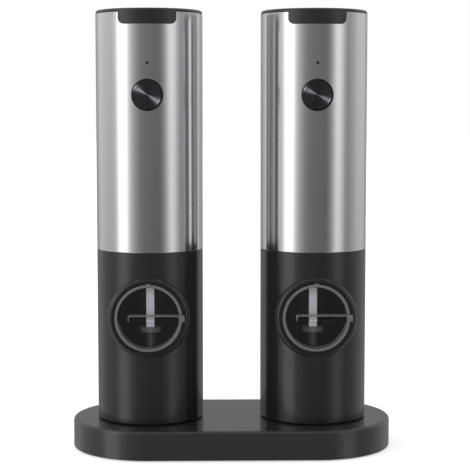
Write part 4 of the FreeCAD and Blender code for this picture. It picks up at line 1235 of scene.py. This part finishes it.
    def insides(self) -> None:
        """Dresses the pieces that keep their CAD form."""
        for name, finish in (("inner_frame", INNER_GREY), ("control_board", BOARD_GREEN),
                             ("battery_cell", CELL_BLUE), ("motor", MOTOR_CAN), ("gearbox_case", INNER_GREY),
                             ("motor_pinion", GEAR_WHITE), ("planet_gear_a", GEAR_WHITE),
                             ("planet_gear_b", GEAR_WHITE), ("planet_gear_c", GEAR_WHITE),
                             ("planet_carrier", GEAR_WHITE), ("burr_housing", INNER_GREY),
                             ("burr_ring", BURR_CERAMIC), ("burr_rotor", BURR_CERAMIC),
                             ("grind_knob", INNER_GREY), ("contact_pads", CONTACT_GOLD),
                             ("screws", SCREW_STEEL)):
            dress(self.node(name), finish)

    def build(self) -> None:
        """Makes every piece of the mill."""
        self.sleeve()
        self.cap()
        self.button()
        self.body()
        self.collar()
        self.cover()
        self.shaft()
        self.insides()


@dataclass(frozen=True)
class Studio:
    """Floor, soft light and camera."""

    camera_place: Point = (-0.0115, -0.7054, 0.1683)
    camera_down_degrees: float = 5.165
    camera_right_degrees: float = 1.07
    lens: float = 109.9
    peak: float = 2.2
    zenith: float = 0.75

    def surroundings(self) -> None:
        """Soft light cards all round: bright ones at the sides, grey in front and behind."""
        levels = ((-180, 0.30), (-150, 0.42), (-130, 0.78), (-101, 0.66), (-85, 0.62), (-74, 0.85),
                  (-66, 1.9), (-50, 1.9), (-42, 0.85), (-32, 0.48), (-20, 0.27), (-8, 0.21), (20, 0.175),
                  (27, 0.20), (36, 0.42), (48, 1.05), (58, 0.90), (66, 0.50), (74, 0.34), (88, 0.45),
                  (105, 0.66), (130, 0.70), (150, 0.42), (180, 0.30))
        world = bpy.data.worlds.new("soft_studio")
        bpy.context.scene.world = world
        world.use_nodes = True
        world.node_tree.nodes.clear()
        tree = Tree(world.node_tree)
        split = tree.node("SeparateXYZ")
        tree.link(tree.node("TexCoord").outputs["Generated"], split.inputs[0])
        x, y, z = split.outputs
        turn = tree.sum("ARCTAN2", x, tree.sum("MULTIPLY", y, -1.0))
        ramp = tree.node("ValToRGB")
        stops = ramp.color_ramp.elements
        while len(stops) > 1:
            stops.remove(stops[-1])
        for index, (degrees, level) in enumerate(levels):
            stop = stops[0] if index == 0 else stops.new(degrees / 360 + 0.5)
            stop.position = degrees / 360 + 0.5
            stop.color = (level / self.peak,) * 3 + (1,)
        tree.link(tree.sum("MULTIPLY_ADD", turn, 1 / (2 * math.pi), 0.5), ramp.inputs[0])
        raised = tree.node("Mix", data_type="RGBA", blend_type="MULTIPLY")
        raised.inputs[0].default_value = 1.0
        tree.link(ramp.outputs[0], raised.inputs[6])
        tree.link(tree.spread(z, 0.88, 1.4, -0.12, 0.25), raised.inputs[7])
        blend = tree.node("Mix", data_type="RGBA")
        blend.inputs[7].default_value = (self.zenith / self.peak,) * 3 + (1,)
        tree.link(tree.spread(z, 0.0, 1.0, 0.35, 0.95), blend.inputs[0])
        tree.link(raised.outputs[2], blend.inputs[6])
        glow = tree.node("Background")
        glow.inputs["Strength"].default_value = self.peak
        tree.link(blend.outputs[2], glow.inputs["Color"])
        plain = tree.node("Background")
        plain.inputs["Color"].default_value = (1, 1, 1, 1)
        mix = tree.node("MixShader")
        tree.link(tree.node("LightPath").outputs["Is Camera Ray"], mix.inputs[0])
        tree.link(glow.outputs[0], mix.inputs[1])
        tree.link(plain.outputs[0], mix.inputs[2])
        tree.link(mix.outputs[0], tree.node("OutputWorld").inputs["Surface"])

    def lamp(self, name: str, azimuth: float, elevation: float, distance: float, size: float,
             power: float, pieces: Sequence[str]) -> None:
        """Square soft lamp that looks at the set.

        Args:
            name: Its name.
            azimuth: Degrees from the front, positive to the right.
            elevation: Degrees above the table.
            distance: Metres from the set's middle.
            size: Side of the lamp, in metres.
            power: Watts.
            pieces: Names of the pieces that it lights, without their side.
        """
        data = bpy.data.lights.new(name, "AREA")
        data.shape = "SQUARE"
        data.size = size
        data.energy = power
        made = bpy.data.objects.new(name, data)
        bpy.context.scene.collection.objects.link(made)
        turn, up = math.radians(azimuth), math.radians(elevation)
        direction = Vector((math.sin(turn) * math.cos(up), -math.cos(turn) * math.cos(up), math.sin(up)))
        middle = Vector((0, 0, 0.12))
        made.location = middle + direction * distance
        made.rotation_euler = direction.to_track_quat("Z", "Y").to_euler()
        made.visible_camera = False
        lit = bpy.data.collections.new(f"{name}_lights")
        for side in Side:
            for piece_name in pieces:
                lit.objects.link(bpy.data.objects[f"{side.value}_{piece_name}"])
        made.light_linking.receiver_collection = lit

    def floor(self) -> None:
        """Plain pale floor."""
        bm = bmesh.new()
        bmesh.ops.create_grid(bm, x_segments=2, y_segments=2, size=6.0)
        made = loose_object(bm, "pale_floor")
        made.data.materials.append(WhiteFloor("floor_white", "").material())
        made.visible_glossy = False
        made.visible_transmission = False

    def camera(self) -> None:
        """Camera in front, a little above the middle, looking slightly down."""
        data = bpy.data.cameras.new("front_camera")
        data.lens = self.lens
        data.sensor_width = 36.0
        data.clip_start = 0.01
        data.clip_end = 50.0
        made = bpy.data.objects.new("front_camera", data)
        bpy.context.scene.collection.objects.link(made)
        made.location = self.camera_place
        made.rotation_euler = (math.radians(90 - self.camera_down_degrees), 0,
                               -math.radians(self.camera_right_degrees))
        bpy.context.scene.camera = made

    def build(self) -> None:
        """Sets up everything round the object."""
        self.surroundings()
        self.floor()
        self.lamp("key_lamp", -60, 28, 1.2, 0.3, 60.0, ("push_button",))
        self.lamp("front_lamp", 0, 7, 1.1, 0.3, 5.4, ("square_shaft",))
        self.camera()
        bpy.context.scene.view_settings.view_transform = "Standard"


def main() -> None:
    """Builds the stand, the two mills and the studio."""
    logging.basicConfig(level=logging.INFO, format="%(name)s: %(message)s")
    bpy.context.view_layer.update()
    Stand().build()
    for side in Side:
        Mill(side).build()
    Studio().build()


if __name__ == "__main__":
    main()
